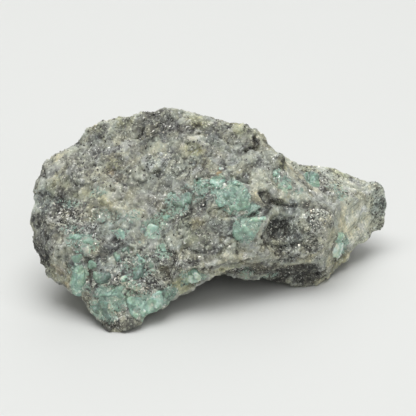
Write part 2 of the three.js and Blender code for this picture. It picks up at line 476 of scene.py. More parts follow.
PATCHES[Mineral.BIOTITE] = patches(
    # Darkens the up-facing upper face: painted shade.
    ((-14, -0.6, 33), (26, 8, 12), 0.16),
    ((-36.4, -6.4, 23.9), (2.4, 2.6, 2.4), 0.5),
    ((-28.6, -11.8, 20.8), (2.4, 2.2, 1.5), 0.4),
    ((-25, -12.3, 19), (2.4, 2.2, 1.5), 0.45),
    ((-13.4, -17.3, 10.1), (3.4, 2.4, 1.3), 0.7),
    ((0.3, -13.3, 14.6), (2.6, 2.2, 1.5), 0.45),
    ((12.7, -8.6, 14.8), (2, 2.4, 1.7), 0.6),
    ((16.9, -7.1, 10), (3, 2.4, 1.8), 0.6),
    # Under the shoulder: partly dark biotite, partly painted shade on downward faces.
    ((12.9, -5.6, 4), (3, 2.6, 1.6), 0.5),
    ((7.8, 6.6, 35.8), (3, 3, 1.2), 0.35),
    ((-29.2, -8.4, 24.4), (2.4, 2.2, 1.3), 0.4),
    ((9.7, 3.9, 33.6), (0.8, 1.5, 1.4)),
    ((9, 2.7, 32.7), (2, 1.2, 0.6), 0.8),
    ((-33.6, -14.2, 7), (2, 2.4, 1.8), 0.4),
    ((-33.7, -11.8, 20.8), (2.4, 2.4, 1.8), 0.45),
    ((15, -7.8, 12), (3.2, 2.4, 1.9), 0.6),
    ((-17.4, -16.4, 12.5), (2.4, 2.4, 1.6), 0.45),
    ((-17.5, -3.4, 30.6), (2.4, 2.2, 1.7), 0.4),
    ((-20.8, -4.8, 29.4), (2.6, 2.4, 1.6), 0.5),
    ((-21.6, -2.3, 31.9), (2.4, 2.2, 1.4), 0.5),
    ((-16.9, -17.2, 11.3), (4, 2.6, 1.7), 0.65),
    ((26, 8.8, 20.4), (2.4, 2.4, 1.3), 0.8),
    ((28.4, 15.6, 20.4), (2.4, 3, 1.2), 0.4),
    # Top rim: partly dark biotite, partly painted shade on stone turned to the overhead light.
    ((-12.6, 3.2, 37.4), (2.6, 3, 1.5), 0.8),
    ((-20.3, -14.9, 15.7), (2, 2.4, 1.2), 0.4),
    ((12.6, -1.7, 26.7), (1.8, 2.2, 1.2), 0.45),
    ((37.4, 11.2, 6.8), (2.2, 3, 1.8), 0.6),
    ((40, 14.8, 15.2), (1.8, 3, 2.2), 0.5),
    ((-13.3, -6.8, 24.8), (2.2, 2.4, 1.4), 0.4),
    ((-23.4, -6, 28.4), (2.2, 2.4, 1.3), 0.4),
    ((-2.4, -8.4, 23), (2.4, 2.2, 1.8), 0.5),
    ((15.2, -6.4, 15.9), (3.3, 3, 3.3), 0.9),
    # Under the shoulder: partly dark biotite, partly painted shade on downward faces.
    ((14, -5, 3.2), (4.4, 3.4, 1.9), 0.95),
    ((7.2, -3.2, 27.6), (1.8, 1.5, 0.7), 0.7),
    ((-38.4, -10.8, 13), (3, 4, 3.2)),
    # Top rim: partly dark biotite, partly painted shade on stone turned to the overhead light.
    ((-12.2, 8, 40), (3, 4, 1.7), 0.5),
    ((-20.6, -18.6, 10.3), (2.2, 2.4, 1.2), 0.55),
    ((-23.6, -18.8, 10.2), (1.8, 2.4, 1.2), 0.45),
    ((-32.3, -6.7, 26.2), (2.6, 2.6, 1.3), 0.5),
    ((-6.5, -4.1, 28.6), (2.4, 2.4, 1.3), 0.4),
    ((-25.8, -15, 16.9), (1.8, 2.6, 1.2), 0.4),
    ((37.2, 11.7, 12), (1.6, 3, 2.2), 0.45),
    ((12.6, -5.4, 22.4), (2.4, 2.2, 1.6), 0.75),
    ((9.6, -7.4, 21.7), (1.6, 2, 0.8), 0.6),
    ((-4.8, 3.4, 37.3), (3, 2.4, 1.5), 0.85),
    ((-4.4, 0.8, 33.4), (1.3, 2, 1.3), 0.45),
    ((31.1, 9.1, 17.7), (3.2, 2.6, 1.6), 0.4),
    ((23, -1.7, 20.4), (2.6, 2.4, 1.8), 0.45),
    ((-19.6, -22.4, 1.4), (2.6, 2, 1.6), 0.7),
    ((-3, -9.6, 21), (10, 6, 7), 0.16),
    ((16.6, -6, 13.8), (4, 3, 2.2), 0.5),
    ((-11.5, -14.7, 14.9), (3, 2.4, 1.9), 0.75),
    ((-19.4, -16, 14), (2.6, 2.2, 1.6), 0.8),
    ((-5.6, -14, 12.6), (2.2, 2.2, 1.2), 0.3),
    ((-21.6, -13.8, 17), (2.4, 2.2, 1.4), 0.5),
    ((-7.4, -10.7, 20.2), (2.6, 2.2, 1.7), 0.5),
    ((-32.2, -8, 23.8), (3.8, 2.4, 1.4), 0.85),
    ((-18.4, -5.4, 28.1), (2.2, 2, 1.2), 0.45),
    ((-26.4, -4.9, 29.3), (2.2, 2, 1.3), 0.4),
    # Top of the cap: partly dark biotite, partly painted shade on stone turned to the overhead light.
    ((-13, 5.8, 40.3), (4.2, 3, 1.6), 0.75),
    ((-38, -2.2, 30), (2, 3, 2.4), 0.45),
    ((7.6, 2.2, 32.4), (2.6, 2.4, 1.7), 0.5),
    ((2, 5.4, 36.6), (3, 3, 1.8), 0.5),
    ((27.6, 11.6, 20.2), (3.6, 4, 1.8), 0.45),
    ((14.8, -4.4, 22.4), (2.4, 2, 0.9), 0.7),
    ((16.8, -3.6, 21.4), (2.2, 2.2, 0.9), 0.4),
    ((24, -3, 18.4), (3, 3, 2.6), 0.35),
    ((21.6, -5.6, 12.6), (3, 3, 2.6), 0.4),
    # Under the shoulder: partly dark biotite, partly painted shade on downward faces.
    ((18.6, -5, 5.4), (7.4, 4, 2.4)),
    ((12.6, -6.8, 7.6), (3.4, 3, 1.6), 0.75),
    ((6.4, -9.8, 8), (6, 2.4, 1.9), 0.7),
    ((23, 13.6, 23.4), (9, 3.4, 1.9), 0.7),
    ((32, 16.6, 19.8), (8, 3, 1.7), 0.6),
    # Under the shoulder: partly dark biotite, partly painted shade on downward faces.
    ((22.6, -2.6, 2.6), (5, 3, 2), 0.9),
    # Top rim: partly dark biotite, partly painted shade on stone turned to the overhead light.
    ((-12.6, 3.8, 38), (5.4, 3, 2.9), 0.62),
    ((-9.6, 2.4, 36), (2.6, 2.6, 1.8), 0.4),
    ((-4.4, 4, 37.4), (2.8, 2.6, 1.8), 0.4),
    ((-25.6, 3, 37), (3.2, 2.6, 2), 0.55),
    ((-29, 2, 35), (2.6, 2.6, 1.6), 0.5),
    ((-24.4, -1, 32.6), (2.6, 2.4, 1.9), 0.55),
    ((-21.6, -4.4, 29.8), (3.2, 2.4, 1.8), 0.4),
    ((-2.4, -2.3, 29.8), (1.6, 2.4, 1.7), 0.5),
    ((-5.4, -8.8, 23), (3.6, 2.5, 2.2), 0.5),
    ((-38.6, -8.6, 20.6), (1.8, 3, 2), 0.8),
    ((-35.5, -9.6, 21.4), (1.2, 2.4, 1.2), 0.7),
    ((-37.2, -11.6, 16), (2.4, 3.4, 5), 0.45),
    ((-38.6, -9.6, 12), (3, 5, 6), 0.8),
    ((-32.6, -9.2, 22.8), (3.8, 2.6, 2), 0.6),
    ((-24.4, -15, 16.8), (1.8, 2.6, 2.6), 0.7),
    ((-9.4, -15.8, 11.4), (3.6, 3, 2.4), 0.5),
    ((-13.4, -17.4, 10), (3.2, 2.6, 1.6), 0.55),
    ((-14.6, -14, 15.2), (3, 2.6, 1.2), 0.4),
    ((-26.6, -17.2, 11.6), (1, 2.6, 4), 0.6),
    ((-22, -22, 1.6), (2.4, 2, 2), 0.9),
    ((-4.6, -12, 15.6), (3, 3, 1.6), 0.35),
    ((26, 7.4, 20.4), (2.4, 2.4, 1.4), 0.55),
    ((40.8, 14.6, 11), (4.8, 7, 11), 0.58),
    ((15.4, 2.6, 29.3), (1.8, 2.2, 1.7), 0.8),
    ((9, 3.4, 33.2), (2.2, 2, 1.5), 0.5),
    ((-6, 9, 3), (26, 16, 4.5), 0.5),
    ((8, 19, 16), (6, 4, 4), 0.6),
    ((-32, 8, 18), (6, 5, 6), 0.5),
    ((4, 12, 32), (6, 3, 4), 0.5),
)
PATCHES[Mineral.FELDSPAR] = patches(
    ((-4, 2, 35.5), (2.4, 2.2, 0.9), 0.8),
    ((-7, 0.6, 34), (1.6, 2.2, 1.6)),
    ((-3.6, -0.2, 32.1), (2.2, 2, 0.7), 0.7),
    ((-22, -8.9, 24.6), (3.6, 2.4, 1.5), 0.9),
    ((2.2, -8.7, 22.8), (2.2, 2.4, 1.5)),
    ((10.1, -5.1, 24.6), (1.3, 2.4, 1.5)),
    # Lightens stone in the shadow of the groove above: painted light.
    ((13.4, -6.2, 19.2), (2.2, 2.4, 1.3)),
    # Lightens the downward-facing foot of the slab and shoulder: painted light.
    ((30.2, 4.4, 3), (3.2, 4, 2.2)),
    ((25.9, -0.6, 1.4), (3.2, 3.4, 1.8)),
    ((10.9, 7, 34), (2, 3, 1.6), 0.6),
    ((-23.9, 3.2, 37.9), (2.4, 3, 1.4), 0.5),
    ((14.1, -3.5, 24.2), (1.8, 2.4, 0.9), 0.6),
    ((21, -5.7, 9), (2.4, 2.6, 1.5), 0.5),
    # Lightens the slab's side, which faces down and away from the light: painted light.
    ((29.6, 4.7, 11.4), (2.4, 3.4, 3)),
    ((3.7, -11.2, 8.5), (2.4, 2.6, 1.6), 0.6),
    ((-9.6, -15.1, 11.8), (2.2, 2.4, 1.2), 0.5),
    ((-7.8, -13.8, 14.9), (2, 2.4, 1.2), 0.5),
    ((16.6, 8.6, 26), (2, 3.4, 1.5), 0.9),
    ((25.8, -2, 13.2), (2.4, 3.2, 2.4), 0.8),
    ((-3.9, -12.1, 18.2), (2, 2.4, 1.5), 0.5),
    ((-35.2, -13.4, 11.6), (1.8, 2.4, 1.6), 0.5),
    ((-6.7, -0.6, 32.1), (1.4, 2, 1.2), 0.6),
    ((17.6, 0.1, 24.6), (1.6, 2.4, 1.3), 0.6),
    ((-6.4, -14.8, 8.4), (1.8, 2.4, 1.4), 0.9),
    ((6.2, 5.4, 36.4), (2.2, 2.6, 1.1), 0.6),
    ((16, 1.4, 27.6), (1.8, 2.4, 1.6), 0.5),
    ((-32.1, -15.1, 15.8), (1.8, 2.4, 1.6), 0.5),
    ((3, -11.8, 9.1), (3.6, 2.6, 1.6)),
    ((-12.8, -19.8, 3.6), (2.4, 2.4, 1.5), 0.6),
    ((-1.7, 0.7, 33.4), (1.1, 2.2, 2.3)),
    ((17.6, -2.2, 22.8), (3, 2.4, 1.3), 0.8),
    ((-22, -7.2, 26.8), (3.2, 2.6, 2.6), 0.75),
    ((-16.1, -3.8, 29.3), (2, 2.2, 1.1), 0.4),
    ((-20.6, 1.3, 35.2), (1.6, 2, 1.2), 0.25),
    ((-12, -0.1, 34), (2.4, 2, 1.6), 0.5),
    ((-32.1, -0.8, 32.6), (3.4, 3, 2.4), 0.6),
    ((-6.8, 5.6, 39.2), (1.8, 2.4, 0.9), 0.5),
    ((10.6, -1.8, 28), (2.6, 2.4, 2.2), 0.7),
    ((-17.4, -9.6, 22.8), (3.4, 2.4, 1.6), 0.7),
    ((3, -12.6, 13), (6, 2.6, 1.4), 0.6),
    ((12.6, -9, 11.2), (4, 2.6, 1), 0.5),
    ((24.6, -4.4, 15.2), (2.2, 2.6, 2.2), 0.6),
    ((27.6, 0.4, 11), (1.8, 2.6, 3.4), 0.7),
    ((29.4, 3.6, 2.7), (2.4, 2.6, 2), 0.6),
    ((36, 12.4, 12), (0.9, 3, 6), 0.8),
    ((16.8, -3, 22.9), (1.6, 2, 1), 0.6),
    ((-1.9, 0.7, 33.4), (1, 2, 2.6), 0.7),
    ((-5.6, -0.6, 32.1), (2.6, 2, 0.8), 0.6),
    ((16.8, 10.2, 25.6), (2, 2.4, 1.4), 0.4),
    ((24.2, -3.6, 9.8), (3, 2.6, 1.2), 0.6),
    ((32, 7, 12), (3.4, 4, 5), 0.6),
    ((34.6, 10.6, 8.6), (2.8, 3.6, 3.6), 0.6),
    ((26.6, -0.1, 3.8), (2.4, 3, 3), 0.9),
    ((30.8, 4.6, 10.8), (1.6, 3, 4.6), 0.7),
    ((30.6, 10.6, 17.4), (5, 4, 2.8), 0.4),
    ((-19.4, -21.4, 4.2), (1.2, 2.2, 1.6), 0.7),
    ((-18.4, -17, 13.2), (1.6, 2.2, 0.7), 0.3),
    ((12.4, -3, 26.4), (2, 2.4, 1.8), 0.4),
    ((9, -3.4, 25.6), (1.4, 2.4, 1.6), 0.4),
    ((0.8, -8.6, 23), (2.6, 2.4, 1.8), 0.4),
    ((22, 18, 17), (7, 4, 4), 0.4),
    ((-14, 19, 14), (6, 4, 5), 0.4),
)
PATCHES[Mineral.OLIVE] = patches(
    ((-3.3, 4.5, 37.6), (3, 2.6, 1.6), 0.75),
    ((-6.9, -15.2, 8.6), (2.2, 3, 3.2), 0.9),
    ((-4.1, -12, 18.4), (2.6, 2.6, 1.8), 0.5),
    ((4.1, -11.7, 10.4), (3.2, 3, 1.5), 0.7),
    ((-19.6, 5, 38), (2.8, 3, 2), 0.6),
    ((7.6, 6, 36.2), (3.6, 3.4, 2.6), 0.6),
    ((-33.8, -5, 27), (3.2, 3, 2.4), 0.5),
    ((35, 7, 4.8), (3.4, 3.4, 2.6), 0.6),
    ((-21.4, -3, 31.6), (2.2, 2.2, 2.4), 0.6),
    ((-4.3, 0.8, 33.3), (1.4, 2, 1.2), 0.8),
    ((20.6, 13, 24), (6, 2.6, 1.6), 0.6),
    ((31, 16.4, 20), (9, 2.4, 1.8), 0.6),
    ((15.6, 3, 29), (1.8, 2.4, 2), 0.8),
    ((-28, -7.8, 25.4), (5.4, 2.4, 1.6), 0.5),
    ((-5, -10.6, 20.2), (3, 3, 2.6), 0.5),
    ((-33, -13.2, 9), (3, 2.6, 2.2), 0.5),
    ((30, 3, 4), (3, 3, 3), 0.4),
    ((10, 20, 20), (9, 5, 5), 0.5),
    ((-24, 12, 28), (6, 5, 4), 0.4),
)
PATCHES[Mineral.SHEEN] = patches(
    ((27, 13, 21.4), (11, 6, 4.2)),
    ((33, 8.6, 10.8), (4.2, 5.6, 7.4)),
    ((40.4, 14.6, 11), (5.6, 8, 12)),
    ((20, 0.6, 23), (3, 3, 2.2), 0.5),
)
PATCHES[Mineral.SLATE] = patches(
    ((-37.6, -6.4, 24.6), (3.4, 3, 3.4), 0.9),
    ((40, 14, 11), (3.6, 5, 7), 0.6),
    ((-22, -11, 20.4), (7, 4, 3), 0.8),
    ((-10, -11.6, 19), (6, 4, 4), 0.8),
    ((-20, -16, 13), (10, 5, 6), 0.9),
    ((-10, -2.6, 30.6), (5, 4, 3), 0.6),
    ((6, -1, 29.6), (5, 4, 3), 0.5),
    ((16, -5, 18), (7, 5, 7), 0.8),
    ((1, -9, 20), (11, 7, 8), 0.6),
    ((-25, 3, 37), (4, 3, 2.4), 0.8),
    ((-2, -1.2, 31), (2.8, 2.4, 2), 0.7),
    ((0.8, 1.4, 34), (2.6, 2.4, 1.8), 0.6),
    ((-12.6, 0.6, 34.6), (2, 2.4, 2.4), 0.6),
    ((12.6, -2.2, 26.6), (3, 3, 2), 0.5),
    ((27.6, 0.2, 12), (2.6, 3, 3.4), 0.5),
    ((4, 18, 20), (8, 6, 6), 0.7),
)
PATCHES[Mineral.RUST] = patches(
    ((1.7, -2.6, 28.9), (0.8, 1, 0.7)),
    ((-21.4, -3.7, 30.6), (0.8, 1.4, 0.6), 0.5),
    ((-33, -15, 8.4), (1.6, 1.6, 0.9), 0.4),
    ((-34.4, -14.4, 11), (1.5, 1.6, 1), 0.3),
    ((-3.2, -10.4, 20.4), (2.4, 2.4, 1.6), 0.2),
    ((6, 17, 25), (5, 4, 3), 0.4),
    ((-24, 14, 12), (4, 4, 3), 0.4),
)
PATCHES[Mineral.SPECKLE] = patches(
    ((24.4, -3.2, 16.4), (4.6, 3.4, 5)),
    ((15.6, -6, 15.6), (5, 4, 5), 0.25),
    ((23, -4.6, 11), (4.6, 3, 3.6), 0.7),
    ((-17, -17, 11), (9, 4.5, 6), 0.55),
    ((-30, -11, 21.4), (7, 3, 3), 0.5),
    ((-6, -13.5, 12.6), (6, 3, 3), 0.4),
    ((26, 7.6, 20.4), (2.6, 2.4, 1.6), 0.8),
    ((-22, -21.6, 2.6), (3, 2.4, 2.4), 0.8),
    ((-11, -1.6, 31.6), (5, 3, 3.6), 0.4),
)

GROOVES: tuple[Groove, ...] = (
    Groove(((11.4, -4.5, 25), (12.2, -4.8, 24), (13.5, -4.8, 23), (15.3, -4.4, 22.2)), 1.2, 1.5, 0.3),
    Groove(((15.3, -4.6, 22), (17, -3.8, 21.6), (18.6, -3, 21.2)), 0.7, 0.8, 0.3),
    Groove(((6.3, -9.2, 20.9), (8.3, -8.2, 21.2), (10.7, -6.9, 21.9)), 0.8, 0.9, 0.3),
    Groove(((5.6, -3.2, 28.2), (7.1, -3.2, 27.7), (8.4, -3.4, 27.2)), 0.7, 1.2, 0.2),
    Groove(((9.9, 4.9, 34.5), (9.7, 3.9, 33.6), (9.2, 2.7, 32.8)), 0.8, 1.7),
    Groove(((7.5, 2.2, 32.6), (9.2, 2.8, 32.8), (10.6, 3.1, 32.6)), 0.7, 1.2),
    Groove(((-22.9, -11.6, 19.4), (-21.2, -11.5, 20), (-20, -11, 20.6)), 0.6, 0.7, 0.2),
    Groove(((-28.2, -3.4, 30.8), (-26.9, -3.1, 31.2), (-25.4, -3, 31.6)), 0.7, 0.6),
    Groove(((-22.2, -7, 27.3), (-21.8, -7, 27.3)), 0.7, 0.8, 0.1),
    Groove(((11.4, -9, 16.2), (12.4, -8.2, 17.5), (14.2, -6.8, 18)), 0.9, 0.5),
    Groove(((11.4, -9.4, 14.4), (15, -7.6, 13.4), (18.6, -6, 12.4)), 1.1, 0.7),
    Groove(((-2.4, -14.2, 12), (3, -13.2, 13), (9, -10.8, 12.2), (14, -8.6, 12)), 0.9, -0.5),
    Groove(((3, -12.6, 11.2), (9, -10.6, 10.2), (14, -8.2, 9.8), (22, -5, 8.6)), 1.3, 0.6),
    Groove(((-32.6, -15, 16.6), (-31.8, -16, 12), (-31.6, -17, 8)), 0.9, 0.6),
    Groove(((-27.6, -15.8, 14.8), (-27.2, -17.2, 10.6), (-26.4, -19, 6)), 0.9, 0.5),
    Groove(((-22.2, -19.4, 8.6), (-19, -19.4, 9), (-15, -18.8, 8.8), (-11, -17.8, 8.4)), 0.8, 0.25),
    Groove(((24.6, -1.6, 21), (28, 0.8, 18.6), (29.6, 2.6, 14), (29.4, 2.4, 10)), 1.1, 0.7),
    Groove(((37.4, 12.6, 16.4), (37, 11.8, 12), (37.2, 11, 7)), 0.9, 0.5),
)


def shares_at(points: Array, mineral: Mineral) -> Array:
    """Gives the share of a mineral at each point, with ragged borders.

    Args:
        points: the places.
        mineral: the mineral.

    Returns:
        One share from 0 to 1 for each point.
    """
    seed = 11 * (1 + list(Mineral).index(mineral))
    bent = drift(points, 3.6, 1.0, seed)
    ragged = drift(bent, 1.3, 0.5, seed + 5)
    share = np.zeros(len(points))
    for patch in PATCHES[mineral]:
        share = np.maximum(share, patch.share(ragged))
    return share


# --- Node trees ---

Socket = bpy.types.NodeSocket
Outputs = bpy.types.NodeOutputs
Stops = tuple[tuple[float, Colour], ...]
MIDDLE_GREY = (0.5, 0.5, 0.5)


class Wiring:
    """Adds nodes to one node tree and joins them."""

    def __init__(self, tree: bpy.types.NodeTree) -> None:
        """Starts on an empty tree."""
        self.tree = tree
        self.tree.nodes.clear()

    def put(self, target: Socket, value: object) -> None:
        """Joins a socket to target, or sets target to a number, vector or colour."""
        if isinstance(value, Socket):
            self.tree.links.new(value, target)
        elif target.type == "RGBA" and len(value) == 3:
            target.default_value = (*value, 1.0)
        else:
            target.default_value = value

    def fill(self, node: bpy.types.Node, **inputs: object) -> None:
        """Joins or sets a node's inputs, which are named with _ for a space."""
        for name, value in inputs.items():
            self.put(node.inputs[name.replace("_", " ")], value)

    def node(self, kind: str, settings: dict[str, str] | None = None, **inputs: object) -> bpy.types.Node:
        """Adds a node.

        Args:
            kind: the node's type without its ShaderNode prefix.
            settings: properties of the node.
            **inputs: values for its inputs.

        Returns:
            The new node.
        """
        made = self.tree.nodes.new("ShaderNode" + kind)
        for name, value in (settings or {}).items():
            setattr(made, name, value)
        self.fill(made, **inputs)
        return made

    def pair(self, kind: str, operation: str, first: object, second: object) -> Outputs:
        """Adds an operation on two numbers or two vectors.

        Args:
            kind: Math for numbers or VectorMath for vectors.
            operation: the operation's name.
            first: a socket or a value.
            second: a socket or a value.

        Returns:
            The operation's outputs.
        """
        made = self.node(kind, {"operation": operation})
        self.put(made.inputs[0], first)
        self.put(made.inputs[1], second)
        return made.outputs

    def maths(self, operation: str, first: object, second: object = 0.0) -> Socket:
        """Adds an operation on two numbers."""
        return self.pair("Math", operation, first, second)[0]

    def vector(self, operation: str, first: object, second: object) -> Socket:
        """Adds an operation on two vectors that gives a vector."""
        return self.pair("VectorMath", operation, first, second)["Vector"]

    def dot(self, first: object, second: object) -> Socket:
        """Multiplies two vectors into a number."""
        return self.pair("VectorMath", "DOT_PRODUCT", first, second)["Value"]

    def stretched(self, vector: object, factor: object) -> Socket:
        """Multiplies a vector by a number."""
        return self.node("VectorMath", {"operation": "SCALE"}, Vector=vector, Scale=factor).outputs["Vector"]

    def total(self, start: object, *terms: tuple[object, object]) -> Socket:
        """Adds weighted numbers up.

        Args:
            start: the number that they are added to.
            *terms: each number with its weight.

        Returns:
            The sum's socket.
        """
        for value, weight in terms:
            start = self.maths("ADD", start, self.maths("MULTIPLY", value, weight))
        return start

    def balanced(self, value: Socket) -> Socket:
        """Takes 0.5 off a number from 0 to 1, so that it lies around 0."""
        return self.maths("SUBTRACT", value, 0.5)

    def clouds(self, place: Socket, scale: object, detail: float, roughness: float = 0.5) -> Socket:
        """Adds a cloudy pattern of numbers around 0.5.

        Args:
            place: where the pattern is read.
            scale: how fine it is.
            detail: how many finer layers it has.
            roughness: how strong the finer layers are.

        Returns:
            The pattern's socket.
        """
        made = self.node("TexNoise", Vector=place, Scale=scale, Detail=detail, Roughness=roughness)
        return made.outputs["Fac"]

    def spread(
        self, value: Socket, low: float, high: float, out_low: float = 0.0, out_high: float = 1.0
    ) -> Socket:
        """Maps a number smoothly from one range to another.

        Args:
            value: the number's socket.
            low: where the result starts to change.
            high: where it stops.
            out_low: the result at low.
            out_high: the result at high.

        Returns:
            The result's socket.
        """
        ends = {"From_Min": low, "From_Max": high, "To_Min": out_low, "To_Max": out_high}
        made = self.node("MapRange", {"interpolation_type": "SMOOTHSTEP"}, Value=value, **ends)
        return made.outputs["Result"]

    def blend(self, share: object, under: object, over: object, kind: str = "MIX") -> Socket:
        """Mixes two colours.

        Args:
            share: how much of the second colour there is, a socket or a number.
            under: the first colour.
            over: the second colour.
            kind: the way of mixing.

        Returns:
            The mixed colour's socket.
        """
        made = self.node("Mix", {"data_type": "RGBA", "blend_type": kind})
        self.put(made.inputs[0], share)
        self.put(made.inputs[6], under)
        self.put(made.inputs[7], over)
        return made.outputs[2]

    def ramp(self, value: Socket, stops: Stops) -> Socket:
        """Turns a number into a colour along a row of stops.

        Args:
            value: the number's socket.
            stops: each stop's place from 0 to 1, and its colour.

        Returns:
            The colour's socket.
        """
        made = self.node("ValToRGB")
        elements = made.color_ramp.elements
        while len(elements) < len(stops):
            elements.new(1.0)
        for element, (place, colour) in zip(elements, stops):
            element.position = place
            element.color = (*colour, 1.0)
        self.put(made.inputs[0], value)
        return made.outputs[0]

    def share_of(self, name: str) -> Socket:
        """Reads a number that the mesh holds at its vertices."""
        return self.node("Attribute", {"attribute_name": name}).outputs["Fac"]

    def place(self) -> Socket:
        """Gives the place on the stone in millimetres."""
        return self.stretched(self.node("TexCoord").outputs["Object"], 1 / MM)

    def stretched_along(self, place: Socket, direction: Point, more: float) -> Socket:
        """Stretches a place along a direction.

        Args:
            place: the place.
            direction: the direction.
            more: how much it is stretched. A negative number squeezes it.

        Returns:
            The stretched place's socket.
        """
        shift = self.stretched(direction, self.maths("MULTIPLY", self.dot(place, direction), more))
        return self.vector("ADD", place, shift)


class Effect:
    """A shader node group with named inputs and outputs, which is built once and used by several finishes."""

    NAME = "effect"
    INPUTS: dict[str, str] = {}
    OUTPUTS: dict[str, str] = {}

    def tree(self) -> bpy.types.NodeTree:
        """Gives the group, which the first call builds."""
        known = bpy.data.node_groups.get(self.NAME)
        if known is not None:
            return known
        group = bpy.data.node_groups.new(self.NAME, "ShaderNodeTree")
        wiring = Wiring(group)
        for name, kind in self.INPUTS.items():
            group.interface.new_socket(name=name, in_out="INPUT", socket_type="NodeSocket" + kind)
        for name, kind in self.OUTPUTS.items():
            group.interface.new_socket(name=name, in_out="OUTPUT", socket_type="NodeSocket" + kind)
        start = group.nodes.new("NodeGroupInput")
        end = group.nodes.new("NodeGroupOutput")
        for name, socket in self.wire(wiring, start.outputs).items():
            wiring.put(end.inputs[name], socket)
        return group

    def wire(self, wiring: Wiring, given: Outputs) -> dict[str, Socket]:
        """Builds what is inside the group.

        Args:
            wiring: the group's wiring.
            given: the sockets of the group's inputs.

        Returns:
            A socket for each output.
        """
        raise NotImplementedError

    def use(self, wiring: Wiring, **inputs: object) -> Outputs:
        """Places the group in a material.

        Args:
            wiring: the material's wiring.
            **inputs: values for the group's inputs.

        Returns:
            The placed group's outputs.
        """
        made = wiring.node("Group")
        made.node_tree = self.tree()
        wiring.fill(made, **inputs)
        return made.outputs


class GrainMosaic(Effect):
    """Packs the stone with angular grains that have random numbers, leaning faces and seams round them."""

    NAME = "grain_mosaic"
    INPUTS = {"Place": "Vector", "Grain Size": "Float", "Jumble": "Float"}
    OUTPUTS = {"Pick": "Float", "Shade": "Float", "Hue": "Float", "Lean": "Float", "Seam": "Float"}

    def wire(self, wiring: Wiring, given: Outputs) -> dict[str, Socket]:
        """Builds the grains.

        Args:
            wiring: the group's wiring.
            given: the sockets of the group's inputs.

        Returns:
            Three random numbers of each grain, the height of its leaning face, and how far its border is.
        """
        fineness = wiring.maths("DIVIDE", 1.0, given["Grain Size"])
        scaled = wiring.stretched(given["Place"], fineness)
        waves = wiring.node("TexNoise", Vector=scaled, Scale=0.9, Detail=2.0, Roughness=0.6)
        off = wiring.vector("SUBTRACT", waves.outputs["Color"], MIDDLE_GREY)
        spot = wiring.vector("ADD", scaled, wiring.stretched(off, given["Jumble"]))
        grains = wiring.node("TexVoronoi", Vector=spot, Scale=1.0)
        edges = wiring.node("TexVoronoi", {"feature": "DISTANCE_TO_EDGE"}, Vector=spot, Scale=1.0)
        numbers = wiring.node("SeparateColor", Color=grains.outputs["Color"])
        away = wiring.vector("SUBTRACT", spot, grains.outputs["Position"])
        lean = wiring.vector("SUBTRACT", grains.outputs["Color"], MIDDLE_GREY)
        return {
            "Pick": numbers.outputs["Red"],
            "Shade": numbers.outputs["Green"],
            "Hue": numbers.outputs["Blue"],
            "Lean": wiring.dot(away, lean),
            "Seam": edges.outputs["Distance"],
        }


class Tarnish(Effect):
    """Shifts a colour in broad, soft patches between a cooler and a warmer, rustier tone."""

    NAME = "tarnish"
    INPUTS = {"Place": "Vector", "Colour": "Color", "Patch Size": "Float", "Amount": "Float"}
    OUTPUTS = {"Colour": "Color"}
    TONES: Stops = (
        (0.34, (0.80, 0.86, 0.90)),
        (0.50, (1.00, 1.00, 1.00)),
        (0.64, (1.10, 1.02, 0.84)),
        (0.74, (1.16, 0.98, 0.72)),
    )

    def wire(self, wiring: Wiring, given: Outputs) -> dict[str, Socket]:
        """Builds the patches.

        Args:
            wiring: the group's wiring.
            given: the sockets of the group's inputs.

        Returns:
            The shifted colour.
        """
        fineness = wiring.maths("DIVIDE", 1.0, given["Patch Size"])
        warmth = wiring.ramp(wiring.clouds(given["Place"], fineness, 4.0, 0.6), self.TONES)
        return {"Colour": wiring.blend(given["Amount"], given["Colour"], warmth, "MULTIPLY")}


GRAINS = GrainMosaic()
TARNISH = Tarnish()


def material_named(name: str) -> tuple[bpy.types.Material, Wiring, bpy.types.Node]:
    """Makes a material with a lone Principled BSDF.

    Args:
        name: the material's name.

    Returns:
        The material, its wiring and its Principled BSDF.
    """
    made = bpy.data.materials.new(name)
    made.use_nodes = True
    wiring = Wiring(made.node_tree)
    surface = wiring.node("BsdfPrincipled")
    wiring.node("OutputMaterial", Surface=surface.outputs["BSDF"])
    return made, wiring, surface


# --- Finishes ---


@dataclass(frozen=True)
class SchistGrains:
    """What the tone, colour and relief of the schist are worked out from.

    Attributes:
        wiring: the material's wiring.
        place: the place in millimetres, stretched across the foliation.
        fine: the small grains.
        coarse: the large grains.
        clots: the clots of like grains.
        share: the share of each mineral.
    """

    wiring: Wiring
    place: Socket
    fine: Outputs
    coarse: Outputs
    clots: Outputs
    share: dict[Mineral, Socket]


